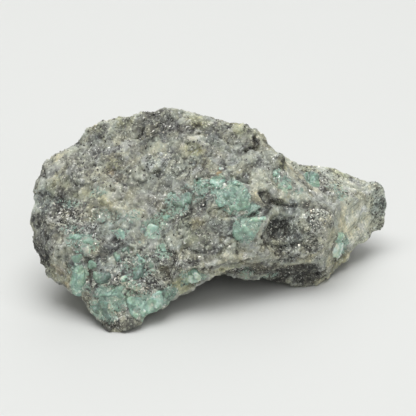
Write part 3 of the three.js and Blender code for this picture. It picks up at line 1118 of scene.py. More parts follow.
@dataclass(frozen=True)
class SchistFinish:
    """Broken mica schist: a speckle of light and dark grey grains with painted glints, stained, and with
    painted shade in its hollows.

    Attributes:
        fine: size of the small grains.
        coarse: size of the large grains.
        clot: size of the clots of like grains.
        middle: tone of the middling grains.
        stops: colours from the darkest grain to the lightest.
        greens: colours of emerald grains, from the deepest to the palest.
        hues: what the grains' colours are multiplied by, from the coolest clot to the warmest.
        tints: what the grains' colours are multiplied by where a mineral is plentiful.
    """

    fine: float = 0.42
    coarse: float = 1.0
    clot: float = 2.8
    middle: float = 0.35
    stops: Stops = (
        (0.00, (0.040, 0.040, 0.037)),
        (0.16, (0.140, 0.142, 0.126)),
        (0.32, (0.310, 0.322, 0.276)),
        (0.50, (0.500, 0.520, 0.450)),
        (0.70, (0.690, 0.700, 0.615)),
        (0.95, (0.900, 0.895, 0.825)),
    )
    greens: Stops = (
        (0.10, (0.135, 0.205, 0.175)),
        (0.45, (0.270, 0.400, 0.330)),
        (0.80, (0.440, 0.590, 0.490)),
        (0.95, (0.680, 0.770, 0.680)),
    )
    hues: Stops = (
        (0.22, (0.985, 0.980, 1.045)),
        (0.50, (0.990, 1.010, 0.995)),
        (0.80, (1.035, 1.000, 0.920)),
    )
    tints: dict[Mineral, Colour] = field(
        default_factory=lambda: {
            Mineral.FELDSPAR: (1.03, 1.0, 0.92),
            Mineral.OLIVE: (0.92, 0.91, 0.70),
            Mineral.SHEEN: (0.985, 1.005, 1.01),
            Mineral.SLATE: (0.95, 1.0, 1.03),
            Mineral.RUST: (1.10, 0.80, 0.50),
        }
    )

    def material(self) -> bpy.types.Material:
        """Builds the material.

        Returns:
            The material.
        """
        made, wiring, surface = material_named("schist")
        place = wiring.stretched_along(wiring.place(), tuple(FOLIATION), FLATNESS - 1)
        fine = GRAINS.use(wiring, Place=place, Grain_Size=self.fine, Jumble=0.5)
        coarse = GRAINS.use(wiring, Place=place, Grain_Size=self.coarse, Jumble=0.8)
        clots = GRAINS.use(wiring, Place=place, Grain_Size=self.clot, Jumble=1.3)
        share = {mineral: wiring.share_of(mineral.value) for mineral in Mineral}
        grains = SchistGrains(wiring, place, fine, coarse, clots, share)
        roughness = wiring.spread(fine["Shade"], 0.1, 0.5, 0.32, 0.8)
        wiring.fill(surface, Base_Color=self.colour(grains), Roughness=roughness, Normal=self.normal(grains))
        return made

    def colour(self, grains: SchistGrains) -> Socket:
        """Builds the colour of the grains.

        Args:
            grains: the grains and shares that it comes from.

        Returns:
            The colour.
        """
        wiring, share, fine, coarse = grains.wiring, grains.share, grains.fine, grains.coarse
        colour = wiring.ramp(self.tone(grains), self.stops)
        leaning = wiring.total(0.0, (grains.clots["Hue"], 0.6), (coarse["Hue"], 0.4))
        colour = wiring.blend(1.0, colour, wiring.ramp(leaning, self.hues), "MULTIPLY")
        for mineral, tint in self.tints.items():
            colour = wiring.blend(share[mineral], colour, wiring.blend(1.0, colour, tint, "MULTIPLY"))
        depth = wiring.total(0.0, (fine["Hue"], 0.5), (coarse["Hue"], 0.5))
        reach = wiring.total(share[Mineral.EMERALD], (fine["Shade"], -0.7))
        green = wiring.spread(reach, 0.0, 0.3, 0.0, 0.9)
        colour = wiring.blend(green, colour, wiring.ramp(depth, self.greens))
        tarnished = TARNISH.use(wiring, Place=grains.place, Colour=colour, Patch_Size=5.0, Amount=0.42)
        seam = wiring.spread(fine["Seam"], 0.0, 0.10, 0.88, 1.0)
        return wiring.blend(1.0, tarnished["Colour"], seam, "MULTIPLY")

    def tone(self, grains: SchistGrains) -> Socket:
        """Builds the tone of the grains, as a sum of patterns that each have their own weight.

        Args:
            grains: the grains and shares that it comes from.

        Returns:
            The tone, from 0, dark, to 1, light.
        """
        wiring, share, fine, coarse = grains.wiring, grains.share, grains.fine, grains.coarse
        clouds = wiring.clouds(grains.place, 0.17, 2.0)
        mottle = wiring.clouds(grains.place, 0.8, 3.0, 0.6)
        veins = wiring.maths("ABSOLUTE", wiring.balanced(wiring.clouds(grains.place, 0.5, 2.0)))
        drawn = wiring.stretched_along(grains.place, SPLIT, -FIBRE_SQUEEZE)
        fibres = wiring.clouds(drawn, 2.4, 3.0, 0.6)
        hollow = wiring.share_of("hollow")
        # Random grain tones, with the brightest grains lifted as painted glints.
        pepper_and_glints = wiring.total(
            0.0,
            (wiring.balanced(fine["Pick"]), 0.16),
            (wiring.balanced(coarse["Pick"]), 0.12),
            (wiring.spread(fine["Hue"], 0.80, 0.94), 0.34),
            (wiring.spread(coarse["Hue"], 0.82, 0.95), 0.10),
        )
        contrast = wiring.total(0.3, (share[Mineral.SHEEN], 0.3), (share[Mineral.SPECKLE], 1.2))
        return wiring.total(
            self.middle,
            (pepper_and_glints, contrast),
            (wiring.balanced(grains.clots["Pick"]), 0.20),
            (wiring.spread(veins, 0.0, 0.03, 1.0, 0.0), 0.12),
            # More painted glints.
            (wiring.spread(fine["Hue"], 0.86, 0.96), 0.14),
            (wiring.balanced(clouds), 0.38),
            (wiring.balanced(mottle), 0.40),
            (wiring.maths("MULTIPLY", wiring.balanced(fibres), share[Mineral.SHEEN]), 1.1),
            # Feldspar lightens and biotite darkens; in some places these are painted light and painted shade.
            (share[Mineral.FELDSPAR], 0.16),
            (share[Mineral.BIOTITE], -0.34),
            (share[Mineral.SHEEN], 0.13),
            (wiring.share_of("streak"), 0.20),
            # Painted shade in hollows and round the seats of whole crystals; sharp edges lighter, partly wear
            # and partly painted highlight.
            (wiring.maths("MAXIMUM", hollow, 0.0), -0.24),
            (wiring.maths("MINIMUM", hollow, 0.0), -0.08),
        )

    def normal(self, grains: SchistGrains) -> Socket:
        """Builds the lean of each grain's face and the fine roughness of the break.

        Args:
            grains: the grains that it comes from.

        Returns:
            The normal.
        """
        wiring = grains.wiring
        height = wiring.total(
            0.0,
            (grains.coarse["Lean"], self.coarse),
            (grains.fine["Lean"], self.fine),
            (wiring.spread(grains.fine["Seam"], 0.0, 0.15), 0.16),
            (wiring.clouds(grains.place, 4.0, 3.0, 0.7), 0.3),
        )
        return wiring.node("Bump", Strength=0.45, Distance=0.6 * MM, Height=height).outputs["Normal"]


@dataclass(frozen=True)
class EmeraldFinish:
    """Cloudy green emerald, lit from inside, with deeper and paler crystals, a glassy break, painted glints
    and painted shade in its hollows.

    Attributes:
        fine: size of the small facets.
        coarse: size of the large facets.
        refraction: the crystal's refractive index.
        inner_light: how far light spreads inside the crystal.
        inner_reach: how far its red, green and blue spread, as shares of that.
        cloudiness: share of light that goes into the crystal and spreads there.
        hollow_shade: the painted shade colour that the hollows are darkened towards.
        stops: colours from the deepest crystal to the palest.
        hues: what the facets' colours are multiplied by, from the coolest to the warmest.
    """

    fine: float = 0.55
    coarse: float = 1.5
    refraction: float = 1.58
    inner_light: float = 0.9
    inner_reach: Colour = (0.55, 1.0, 0.75)
    cloudiness: float = 0.55
    # Painted shade colour for the hollows.
    hollow_shade: Colour = (0.10, 0.12, 0.095)
    stops: Stops = (
        (0.0, (0.095, 0.130, 0.112)),
        (0.25, (0.175, 0.245, 0.205)),
        (0.5, (0.265, 0.400, 0.330)),
        (0.7, (0.375, 0.555, 0.460)),
        (0.85, (0.530, 0.690, 0.580)),
        (1.0, (0.740, 0.810, 0.720)),
    )
    hues: Stops = (
        (0.1, (0.97, 1.0, 1.03)),
        (0.5, (1.0, 1.0, 1.0)),
        (0.9, (1.06, 1.01, 0.92)),
    )

    def material(self) -> bpy.types.Material:
        """Builds the material.

        Returns:
            The material.
        """
        made, wiring, surface = material_named("emerald")
        place = wiring.place()
        fine = GRAINS.use(wiring, Place=place, Grain_Size=self.fine, Jumble=0.5)
        coarse = GRAINS.use(wiring, Place=place, Grain_Size=self.coarse, Jumble=0.9)
        tone = wiring.total(
            wiring.share_of("tone"),
            (wiring.balanced(wiring.clouds(place, 0.7, 5.0, 0.65)), 0.68),
            (wiring.balanced(fine["Pick"]), 0.18),
            (wiring.balanced(coarse["Pick"]), 0.12),
            # Painted glints on the brightest facets.
            (wiring.spread(fine["Hue"], 0.84, 0.95), 0.25),
        )
        green = wiring.ramp(tone, self.stops)
        green = wiring.blend(0.8, green, wiring.ramp(coarse["Hue"], self.hues), "MULTIPLY")
        # Painted shade: the hollows are darkened towards the shade colour.
        green = wiring.blend(wiring.maths("MULTIPLY", wiring.share_of("hollow"), 0.7), green, self.hollow_shade)
        tarnished = TARNISH.use(wiring, Place=place, Colour=green, Patch_Size=3.0, Amount=0.15)
        height = wiring.total(0.0, (coarse["Lean"], 0.9), (fine["Lean"], 0.5))
        bump = wiring.node("Bump", Strength=0.7, Distance=0.5 * MM, Height=height)
        wiring.fill(
            surface,
            Base_Color=tarnished["Colour"],
            Roughness=wiring.spread(fine["Shade"], 0.1, 0.9, 0.16, 0.5),
            Normal=bump.outputs["Normal"],
            IOR=self.refraction,
            Subsurface_Weight=self.cloudiness,
            Subsurface_Radius=self.inner_reach,
            Subsurface_Scale=self.inner_light * MM,
        )
        return made


@dataclass(frozen=True)
class FlakeFinish:
    """A mineral in loose flakes or grains, each with its own tone.

    Attributes:
        name: the material's name.
        stops: colours from the darkest piece to the lightest.
        roughness: roughness of the glossiest and of the dullest piece.
        metallic: how much it shines like a metal, from 0 to 1.
    """

    name: str
    stops: Stops
    roughness: tuple[float, float]
    metallic: float = 0.0

    def material(self) -> bpy.types.Material:
        """Builds the material.

        Returns:
            The material.
        """
        made, wiring, surface = material_named(self.name)
        place = wiring.place()
        clouds = wiring.clouds(place, 2.5, 3.0, 0.7)
        mottled = wiring.total(wiring.share_of("tone"), (wiring.balanced(clouds), 0.5))
        colour = wiring.ramp(mottled, self.stops)
        tarnished = TARNISH.use(wiring, Place=place, Colour=colour, Patch_Size=4.0, Amount=0.5)
        bump = wiring.node("Bump", Strength=0.6, Distance=0.15 * MM, Height=clouds)
        wiring.fill(
            surface,
            Base_Color=tarnished["Colour"],
            Roughness=wiring.spread(wiring.share_of("gloss"), 0.0, 1.0, *self.roughness),
            Normal=bump.outputs["Normal"],
            Metallic=self.metallic,
        )
        return made


# --- Meshes ---


def rows_of(items: bpy.types.bpy_prop_collection, name: str) -> Array:
    """Reads three numbers of each item of a mesh."""
    flat = np.empty(len(items) * 3, np.float32)
    items.foreach_get(name, flat)
    return flat.reshape(-1, 3).astype(float)


def places_of(mesh: Mesh) -> Array:
    """Reads the vertices of a mesh in millimetres."""
    return rows_of(mesh.vertices, "co") / MM


def directions_of(mesh: Mesh) -> Array:
    """Reads the direction that the surface faces at each vertex."""
    return rows_of(mesh.vertex_normals, "vector")


def move_to(mesh: Mesh, points: Array) -> None:
    """Puts the vertices of a mesh at points in millimetres."""
    mesh.vertices.foreach_set("co", (points * MM).astype(np.float32).ravel())
    mesh.update()


def hold(mesh: Mesh, name: str, values: Array) -> None:
    """Keeps one number for each vertex in the mesh."""
    attribute = mesh.attributes.new(name, "FLOAT", "POINT")
    attribute.data.foreach_set("value", values.astype(np.float32))


def remeshed(name: str, mesh: Mesh, voxel: float) -> Mesh:
    """Covers a closed mesh with small even faces.

    Args:
        name: name of the new mesh.
        mesh: the closed mesh, in metres. It is removed.
        voxel: size of a face in millimetres.

    Returns:
        The new mesh.
    """
    carrier = bpy.data.objects.new(name + "_carrier", mesh)
    bpy.context.scene.collection.objects.link(carrier)
    modifier = carrier.modifiers.new("even_faces", "REMESH")
    modifier.mode = "VOXEL"
    modifier.voxel_size = voxel * MM
    bpy.context.view_layer.update()
    evaluated = carrier.evaluated_get(bpy.context.evaluated_depsgraph_get())
    made = bpy.data.meshes.new_from_object(evaluated)
    made.name = name
    bpy.data.objects.remove(carrier)
    bpy.data.meshes.remove(mesh)
    return made


def smoothed(mesh: Mesh, points: Array, passes: int, share: float) -> Array:
    """Evens out points by moving each towards the middle of its neighbours.

    Args:
        mesh: the mesh whose edges say which points are neighbours.
        points: the points.
        passes: how many times they move.
        share: how far they move towards that middle each time, from 0 to 1.

    Returns:
        The new points.
    """
    ends = np.empty(len(mesh.edges) * 2, np.int32)
    mesh.edges.foreach_get("vertices", ends)
    one, other = ends.reshape(-1, 2).T
    count = np.bincount(ends, minlength=len(points))[:, None]
    for _ in range(passes):
        total = np.empty_like(points)
        for axis in range(points.shape[1]):
            total[:, axis] = np.bincount(one, points[other, axis], len(points))
            total[:, axis] += np.bincount(other, points[one, axis], len(points))
        points = points + share * (total / count - points)
    return points


def hollowness(mesh: Mesh, depth: float) -> Array:
    """Measures how deep each vertex lies in a hollow of the surface.

    Args:
        mesh: the mesh.
        depth: depth in millimetres that counts as fully hollow.

    Returns:
        One number for each vertex, from -1 on a sharp edge to 1 in a hollow.
    """
    points = places_of(mesh)
    evened = smoothed(mesh, points, passes=12, share=0.6)
    sunk = ((evened - points) * directions_of(mesh)).sum(axis=1)
    return np.clip(sunk / depth, -1, 1)


def place_piece(
    name: str, mesh: Mesh, material: bpy.types.Material
) -> bpy.types.Object:
    """Adds a finished mesh to the stone.

    Args:
        name: the piece's name.
        mesh: its mesh.
        material: its finish.

    Returns:
        The new piece.
    """
    mesh.materials.clear()
    mesh.materials.append(material)
    mesh.name = name
    piece = bpy.data.objects.new(name, mesh)
    bpy.context.scene.collection.objects.link(piece)
    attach(piece, BODY)
    return piece


def report(piece: bpy.types.Object) -> None:
    """Logs a piece's name and how many triangles it has."""
    triangles = sum(len(face.vertices) - 2 for face in piece.data.polygons)
    LOG.info("%s: %d triangles", piece.name, triangles)


@dataclass(frozen=True)
class Pocket:
    """A place where emerald crystals are crowded together.

    Attributes:
        centre: its middle.
        reach: how far it goes from there.
        count: how many crystals there are.
        size: smallest and largest length of a crystal.
        tone: how pale they are, from 0 to 1.
    """

    centre: Point
    reach: float
    count: int
    size: tuple[float, float]
    tone: float


@dataclass(frozen=True)
class Crystal:
    """A single emerald crystal that shows whole on the surface.

    Attributes:
        centre: its middle.
        along: the direction that its length runs in.
        size: its length, width and thickness.
        tone: how pale it is, from 0 to 1.
        fade: painted shade along it: how much paler it gets from its middle to its far end, so that the other
            end lies darker.
        proud: how far it stands out of the rock.
    """

    centre: Point
    along: Point
    size: Point
    tone: float
    # Painted shade: the tone slopes along the crystal.
    fade: float = 0.0
    proud: float = 0.1


OFF_CRYSTAL = 9.0  # what counts as well away from every crystal, in half sizes
CRYSTAL_LEVEL = 2.4  # how far above or below its middle a crystal still counts, in half thicknesses
RIM = 1.15  # how far out from a crystal's middle its seat reaches, in half sizes


@dataclass
class Laid:
    """Crystals that have been given their places.

    Attributes:
        spots: their middles.
        turns: how they are turned, a 3 by 3 matrix each.
        sizes: their sizes along their own axes.
        tones: how pale they are.
    """

    spots: Array
    turns: Array
    sizes: Array
    tones: Array

    def parts(self) -> tuple[Array, Array, Array]:
        """Gives the places, turns and sizes."""
        return self.spots, self.turns, self.sizes

    def out(self, points: Array) -> Array:
        """Gives how far out each point is on the crystal that it is nearest to.

        Args:
            points: the places.

        Returns:
            One number for each point, from 0 in the middle of a crystal through 1 at its edge.
        """
        out = np.full(len(points), OFF_CRYSTAL)
        for spot, turn, size in zip(self.spots, self.turns, self.sizes):
            own = np.abs((points - spot) @ turn) / (size / 2)
            flat = (own[:, 0] ** 3 + own[:, 1] ** 3) ** (1 / 3)
            out = np.minimum(out, np.where(own[:, 2] < CRYSTAL_LEVEL, flat, OFF_CRYSTAL))
        return out


def seated(crystals: tuple[Crystal, ...], points: Array, facing: Array) -> Laid:
    """Sits single crystals in the surface of the rock.

    Args:
        crystals: the crystals.
        points: places on the surface.
        facing: the direction that it faces at each place.

    Returns:
        The placed crystals.
    """
    laid = Laid(*(np.empty((len(crystals), *shape)) for shape in ((3,), (3, 3), (3,), ())))
    for index, crystal in enumerate(crystals):
        gap = np.linalg.norm(points - crystal.centre, axis=1)
        near = gap < gap.min() + 0.35 * crystal.size[0]
        up = facing[near].mean(axis=0)
        up /= np.linalg.norm(up)
        along = np.array(crystal.along) - np.dot(crystal.along, up) * up
        along /= np.linalg.norm(along)
        top = (points[near] @ up).mean()
        middle = np.array(crystal.centre)
        laid.spots[index] = middle + up * (top - middle @ up - 0.45 * crystal.size[2] + crystal.proud)
        laid.turns[index] = np.column_stack([along, np.cross(up, along), up])
        laid.sizes[index] = crystal.size
        laid.tones[index] = crystal.tone
    return laid


CRYSTALS: tuple[Crystal, ...] = (
    Crystal((-29.6, -16.6, 9.6), (0.15, -0.1, -1), (7.6, 4.4, 3.2), 0.56, 0.06, 0.35),
    Crystal((-29.8, -15.3, 14.6), (1, 0, 0.1), (3.8, 2.2, 1.8), 0.42),
    Crystal((-30.4, -13.7, 18.6), (1, 0, -0.2), (4.2, 2.8, 2.2), 0.46),
    Crystal((-27.4, -14, 18.3), (1, 0, -0.3), (3.2, 2.4, 2), 0.46),
    Crystal((-26.5, -16.4, 13.7), (1, 0.1, 0.3), (2.8, 2.7, 1.9), 0.52, 0.1),
    Crystal((-24.3, -18.1, 11.4), (1, 0, -0.25), (4.6, 3.4, 2.6), 0.22, -0.06, 0.35),
    Crystal((-18.7, -14.4, 15.9), (1, 0, 0.1), (3.6, 2.6, 2.2), 0.20, 0, 0.3),
    Crystal((-20.9, -15.4, 15.2), (0.3, 0, -1), (2.4, 2, 1.6), 0.32),
    Crystal((-17, -16.8, 11.8), (0.3, 0.1, -1), (3.6, 5, 2.8), 0.16, 0.06, 0.5),
    Crystal((-19.6, -17.8, 11), (1, 0, 0.2), (2.2, 2, 1.6), 0.72),
    Crystal((-21.9, -19.8, 8.2), (1, 0, 0.2), (6.4, 4.2, 2.8), 0.42, -0.05),
    Crystal((-24, -20.2, 5.9), (0.7, 0, -1), (3.4, 3, 2), 0.34),
    Crystal((-25.9, -20, 3.8), (0.4, 0, -1), (3.4, 2.6, 2), 0.30),
    Crystal((-23.2, -21.4, 3.8), (0.4, 0, -1), (3.2, 2.6, 2), 0.20),
    Crystal((-17.2, -21.4, 4.4), (0.2, 0, 1), (3.2, 2.6, 2), 0.52),
    Crystal((-12.6, -19.2, 5.8), (0.15, 0.1, 1), (6, 5, 3.4), 0.66, 0.05, 0.4),
    Crystal((-16, -20.4, 5.8), (1, 0.1, 0.2), (5.6, 5.2, 3), 0.58, 0.08, 0.4),
    Crystal((-9.8, -17.6, 6.9), (0.3, 0.1, -1), (3.2, 2.6, 2), 0.30),
    Crystal((-4.2, -13.9, 8.8), (1, 0.2, 0.3), (4.2, 3.4, 2.6), 0.86, 0.05, 0.45),
    Crystal((-4.1, -14.3, 10.8), (1, 0.2, 0.1), (3, 1.9, 1.8), 0.36),
    Crystal((-13.6, -20.2, 3.9), (1, 0.3, 0.3), (5.8, 4, 3), 0.74, 0.05, 0.4),
    Crystal((-12.9, -11.2, 19.4), (0.2, 0.2, 1), (3.8, 3.6, 2.4), 0.76),
    Crystal((-19.9, -12.2, 19), (0.2, 0.1, 1), (2.7, 2.3, 1.8), 0.60),
    Crystal((-10.8, -13.3, 16.4), (0, 0.1, 1), (3, 2.2, 1.8), 0.46),
    Crystal((-15.7, -12.8, 16.8), (1, 0, 0.3), (2.3, 2, 1.6), 0.50),
    Crystal((-13.1, -15.2, 13.1), (0.6, 0.1, 1), (2.6, 2.4, 1.8), 0.56),
    Crystal((-15.5, -15.2, 13.9), (1, 0, 0.1), (2.2, 1.6, 1.5), 0.76),
    Crystal((6.9, -7, 23.8), (1, 0.4, -0.6), (6.2, 4.8, 3.2), 0.38, 0, 0.15),
    Crystal((4.3, -8, 23.1), (1, 0.3, -0.1), (3, 2, 1.8), 0.50),
    Crystal((4, -6, 25.8), (1, 0.4, -0.7), (5, 4.4, 3), 0.38),
    Crystal((1, -4.4, 27.7), (1, 0.2, -0.8), (3.6, 2.8, 2.2), 0.60),
    Crystal((2, -1.6, 30.1), (1, 0.2, 0.2), (1.7, 1.4, 1.2), 0.90),
    Crystal((2.8, -5.1, 27.3), (1, 0, 0.2), (1.2, 1, 0.9), 1.15, 0, 0.5),
    Crystal((8.2, -9.7, 18.7), (1, 0.3, 0.10), (7.8, 4.6, 3.4), 0.48, 0, 0.3),
    Crystal((10, -8.6, 20.1), (1, 0.5, 0.10), (6.8, 2.2, 2.4), 0.74, 0, 0.35),
    Crystal((23.4, 9.8, 22), (1, 0.5, -0.3), (5.8, 3.8, 2.4), 0.24, -0.06, 0.3),
    Crystal((23.6, 7.8, 21.2), (0.5, -1, -0.2), (4, 2.2, 1.8), 0.50, 0, 0.2),
    Crystal((16.5, -0.7, 25.5), (1, 0.1, -0.9), (5, 2.6, 1.9), 0.60, 0, 0.1),
    Crystal((14, 0.1, 27.6), (0.5, 0.2, 1), (2, 1.4, 1.2), 0.50),
    Crystal((28.8, 2.5, 7.3), (0, 0.1, 1), (4.8, 5.6, 3), 0.88, 0, 0.7),
    Crystal((29.4, 3.4, 9.9), (0.1, 0.1, 1), (3.4, 2.6, 2.2), 0.80, 0, 0.6),
    Crystal((-7.3, -8.4, 23.5), (1, 0.1, -0.6), (4.6, 4, 2.4), 0.14),
    Crystal((-6, -7.2, 25.2), (1, 0.2, 0.5), (3.8, 2.6, 2), 0.26),
    Crystal((-10.2, -9.6, 22), (1, 0.1, -0.3), (3, 2, 1.8), 0.50),
    Crystal((-3, 21.5, 18.5), (1, 0.1, 0.4), (6.6, 4.6, 3.2), 0.52),
    Crystal((1.6, 20.5, 15.6), (0.5, 0, 1), (4.2, 3.4, 2.6), 0.68),
    Crystal((-21.4, 16.6, 22.4), (1, 0.3, -0.4), (4.8, 3.4, 2.6), 0.40),
    Crystal((16.4, 20.2, 11.4), (1, -0.3, 0.3), (4.6, 3.2, 2.6), 0.58),
)


@dataclass
class HostRock:
    """The lump of mica schist.

    Attributes:
        voxel: size of its faces.
        flakes: the fracture facets, each a size, a lean and a step in millimetres.
        break_size: distance between the cracks of the break.
        crack: depth of those cracks.
        grain: size of the single grains.
        lumps: height of the single grains.
        swells: the soft swellings, each a size and a height in millimetres.
        ground: height over which the relief fades out towards the feet.
        socket: how deep the rock lies under a crystal that shows whole.
        rim_shade: painted shade round such a crystal: how much darker the rock is there, where 1 is as dark
            as a deep hollow.
        finish: its finish.
        seats: where those crystals sit, known once the lump is built.
    """

    voxel: float = 0.375
    flakes: tuple[tuple[float, float, float], ...] = (
        (6.0, 0.10, 0.16),
        (2.6, 0.17, 0.12),
        (1.3, 0.13, 0.05),
    )
    break_size: float = 7.0
    crack: float = 0.32
    grain: float = 0.9
    lumps: float = 0.03
    swells: tuple[tuple[float, float], ...] = ((3.4, 0.05), (1.4, 0.03))
    ground: float = 0.35
    socket: float = 0.2
    # Painted shade round the seat of each whole crystal.
    rim_shade: float = 0.6
    finish: SchistFinish = field(default_factory=SchistFinish)
    seats: Laid = field(init=False)

    def build(self) -> bpy.types.Object:
        """Builds and dresses the lump.

        Returns:
            The piece.
        """
        mesh = remeshed("host_rock", self.welded(), self.voxel)
        points = smoothed(mesh, places_of(mesh), passes=3, share=0.5)
        for push in PUSHES:
            points = push.pushed(points)
        move_to(mesh, points)
        facing = directions_of(mesh)
        self.seats = seated(CRYSTALS, points, facing)
        points = points + facing * self.relief(points)[:, None]
        points[:, 2] = np.maximum(points[:, 2], 0.0)
        move_to(mesh, points)
        for mineral in Mineral:
            hold(mesh, mineral.value, shares_at(points, mineral))
        hold(mesh, "streak", sum(streaks.waves(points) for streaks in STREAKS))
        # The hollow attribute darkens the finish in hollows and round the seats of whole crystals, which is
        # painted shade. It lightens sharp edges, partly wear and partly painted highlight.
        out = self.seats.out(drift(points, 0.9, 0.3, Seed.RIM_DRIFT))
        rim = ease_between(out, 0.8, 1.0) * (1 - ease_between(out, RIM, 1.5))
        hold(mesh, "hollow", np.clip(hollowness(mesh, 0.5) + self.rim_shade * rim, -1, 1))
        mesh.shade_smooth()
        piece = place_piece("host_rock", mesh, self.finish.material())
        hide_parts(STONE_NODE)
        return piece

    def welded(self) -> Mesh:
        """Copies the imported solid's mesh with the corners of its faces joined.

        Returns:
            The closed mesh.
        """
        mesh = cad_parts[STONE_NODE].data.copy()
        grown = bmesh.new()
        grown.from_mesh(mesh)
        bmesh.ops.remove_doubles(grown, verts=grown.verts, dist=0.001 * MM)
        grown.to_mesh(mesh)
        grown.free()
        return mesh

    def relief(self, points: Array) -> Array:
        """Works out how far the broken surface stands out at each point.

        Args:
            points: the places.

        Returns:
            Heights in millimetres.
        """
        rough = 1 - 0.75 * shares_at(points, Mineral.SHEEN)
        leaved = foliated(points)
        height = np.zeros(len(points))
        for index, (size, lean, step) in enumerate(self.flakes):
            moved = drift(leaved, size, 0.25 * size, Seed.FLAKE_DRIFT + index)
            height += cells_at(moved, size, Seed.FLAKES + index).facets(lean, step)
        grain = cells_at(leaved, self.grain, Seed.GRAINS)
        height += self.lumps * (np.minimum(grain.inside, 0.6) - 0.3)
        for index, (size, rise) in enumerate(self.swells):
            height += rise * swell(leaved, size, Seed.SWELLS + index)
        height -= self.crack * self.breaks(leaved)
        height *= rough
        seat = 1 - ease_between(self.seats.out(points), 0.75, 1.0)
        height = height * (1 - seat) - self.socket * seat
        for streaks in STREAKS:
            height += streaks.depth * streaks.waves(points)
        for groove in GROOVES:
            height -= groove.depth * groove.nearness(points)
        return height * ease_between(points[:, 2], 0.0, self.ground)

    def breaks(self, points: Array) -> Array:
        """Finds the short cracks between the flakes that came off the stone.

        Args:
            points: the places.

        Returns:
            How near each point is to a crack, from 0 to 1.
        """
        flakes = cells_at(drift(points, 3.0, 0.8, Seed.BREAK_DRIFT), self.break_size, Seed.BREAKS)
        near = 1 - ease_between(flakes.inside * self.break_size, 0.1, 0.6)
        return near * ease_between(swell(points, 6.0, Seed.BREAK_PLACES), 0.0, 0.4)


@dataclass(frozen=True)
class Surface:
    """The faces of the finished rock, for scattering things over it.

    Attributes:
        corners: three corners of each triangle.
        facing: direction that each triangle faces.
        area: area of each triangle.
        shares: share of each mineral on each triangle.
    """

    corners: Array
    facing: Array
    area: Array
    shares: dict[Mineral, Array]

    @classmethod
    def of(cls, piece: bpy.types.Object) -> "Surface":
        """Reads the faces of a piece.

        Args:
            piece: the piece.

        Returns:
            Its surface.
        """
        mesh = piece.data
        points = places_of(mesh)
        mesh.calc_loop_triangles()
        index = np.empty(len(mesh.loop_triangles) * 3, np.int32)
        mesh.loop_triangles.foreach_get("vertices", index)
        index = index.reshape(-1, 3)
        corners = points[index]
        cross = np.cross(corners[:, 1] - corners[:, 0], corners[:, 2] - corners[:, 0])
        length = np.linalg.norm(cross, axis=1)
        even = directions_of(mesh)[index].mean(axis=1)
        shares = {}
        for mineral in Mineral:
            values = np.empty(len(points), np.float32)
            mesh.attributes[mineral.value].data.foreach_get("value", values)
            shares[mineral] = values[index].mean(axis=1)
        return cls(corners, even / np.linalg.norm(even, axis=1)[:, None], length / 2, shares)

    def scatter(
        self, count: int, weight: Array, rng: Random
    ) -> tuple[Array, Array]:
        """Picks random places on the surface.

        Args:
            count: how many places.
            weight: how densely each triangle is picked from.
            rng: source of random numbers.

        Returns:
            The places in millimetres, and the directions that the surface faces there.
        """
        chance = self.area * weight
        picked = rng.choice(len(chance), size=count, p=chance / chance.sum())
        along = rng.random((count, 2))
        along = np.where(along.sum(axis=1, keepdims=True) > 1, 1 - along, along)
        corners = self.corners[picked]
        spots = corners[:, 0] + along[:, :1] * (corners[:, 1] - corners[:, 0])
        spots += along[:, 1:] * (corners[:, 2] - corners[:, 0])
        return spots, self.facing[picked]


Shape = tuple[Array, Array]


def hull_of(spots: Array) -> Shape:
    """Wraps points in a convex skin.

    Args:
        spots: the points.

    Returns:
        The skin's vertices, and its triangles as rows of vertex numbers.
    """
    hull = bmesh.new()
    for spot in spots:
        hull.verts.new(spot)
    made = bmesh.ops.convex_hull(hull, input=hull.verts)
    left_over = made["geom_interior"] + made["geom_unused"]
    loose = {item for item in left_over if isinstance(item, bmesh.types.BMVert)}
    bmesh.ops.delete(hull, geom=list(loose), context="VERTS")
    bmesh.ops.triangulate(hull, faces=hull.faces)
    hull.verts.index_update()
    vertices = np.array([vertex.co for vertex in hull.verts])
    triangles = np.array([[vertex.index for vertex in face.verts] for face in hull.faces])
    hull.free()
    return vertices, triangles


def broken_block(corners: int, rng: Random) -> Shape:
    """Makes an angular broken block, one unit across.

    Args:
        corners: how many random corners it is made from.
        rng: source of random numbers.

    Returns:
        Its vertices, and its triangles as rows of vertex numbers.
    """
    spots = rng.normal(size=(corners, 3))
    as_cube = np.abs(spots).max(axis=1, keepdims=True)
    as_ball = np.linalg.norm(spots, axis=1, keepdims=True)
    spots /= as_cube**0.6 * as_ball**0.4
    return hull_of(spots / 2)


def flake(sides: int, thickness: float, rng: Random) -> Shape:
    """Makes a thin plate with an uneven outline.

    Args:
        sides: how many sides the outline has.
        thickness: its thickness for a plate one unit across.
        rng: source of random numbers.

    Returns:
        Its vertices, and its triangles as rows of vertex numbers.
    """
    turns = (np.arange(sides) + rng.uniform(-0.3, 0.3, sides)) * 2 * math.pi / sides
    out = rng.uniform(0.36, 0.5, sides)
    rim = np.stack([out * np.cos(turns), out * np.sin(turns)], axis=1)
    top = np.column_stack([rim, np.full(sides, thickness / 2)])
    bottom = np.column_stack([rim, np.full(sides, -thickness / 2)])
    triangles = []
    for side in range(1, sides - 1):
        triangles.append((0, side, side + 1))
        triangles.append((sides, sides + side + 1, sides + side))
    for side in range(sides):
        after = (side + 1) % sides
        triangles.append((side, sides + side, after))
        triangles.append((after, sides + side, sides + after))
    return np.concatenate([top, bottom]), np.array(triangles)


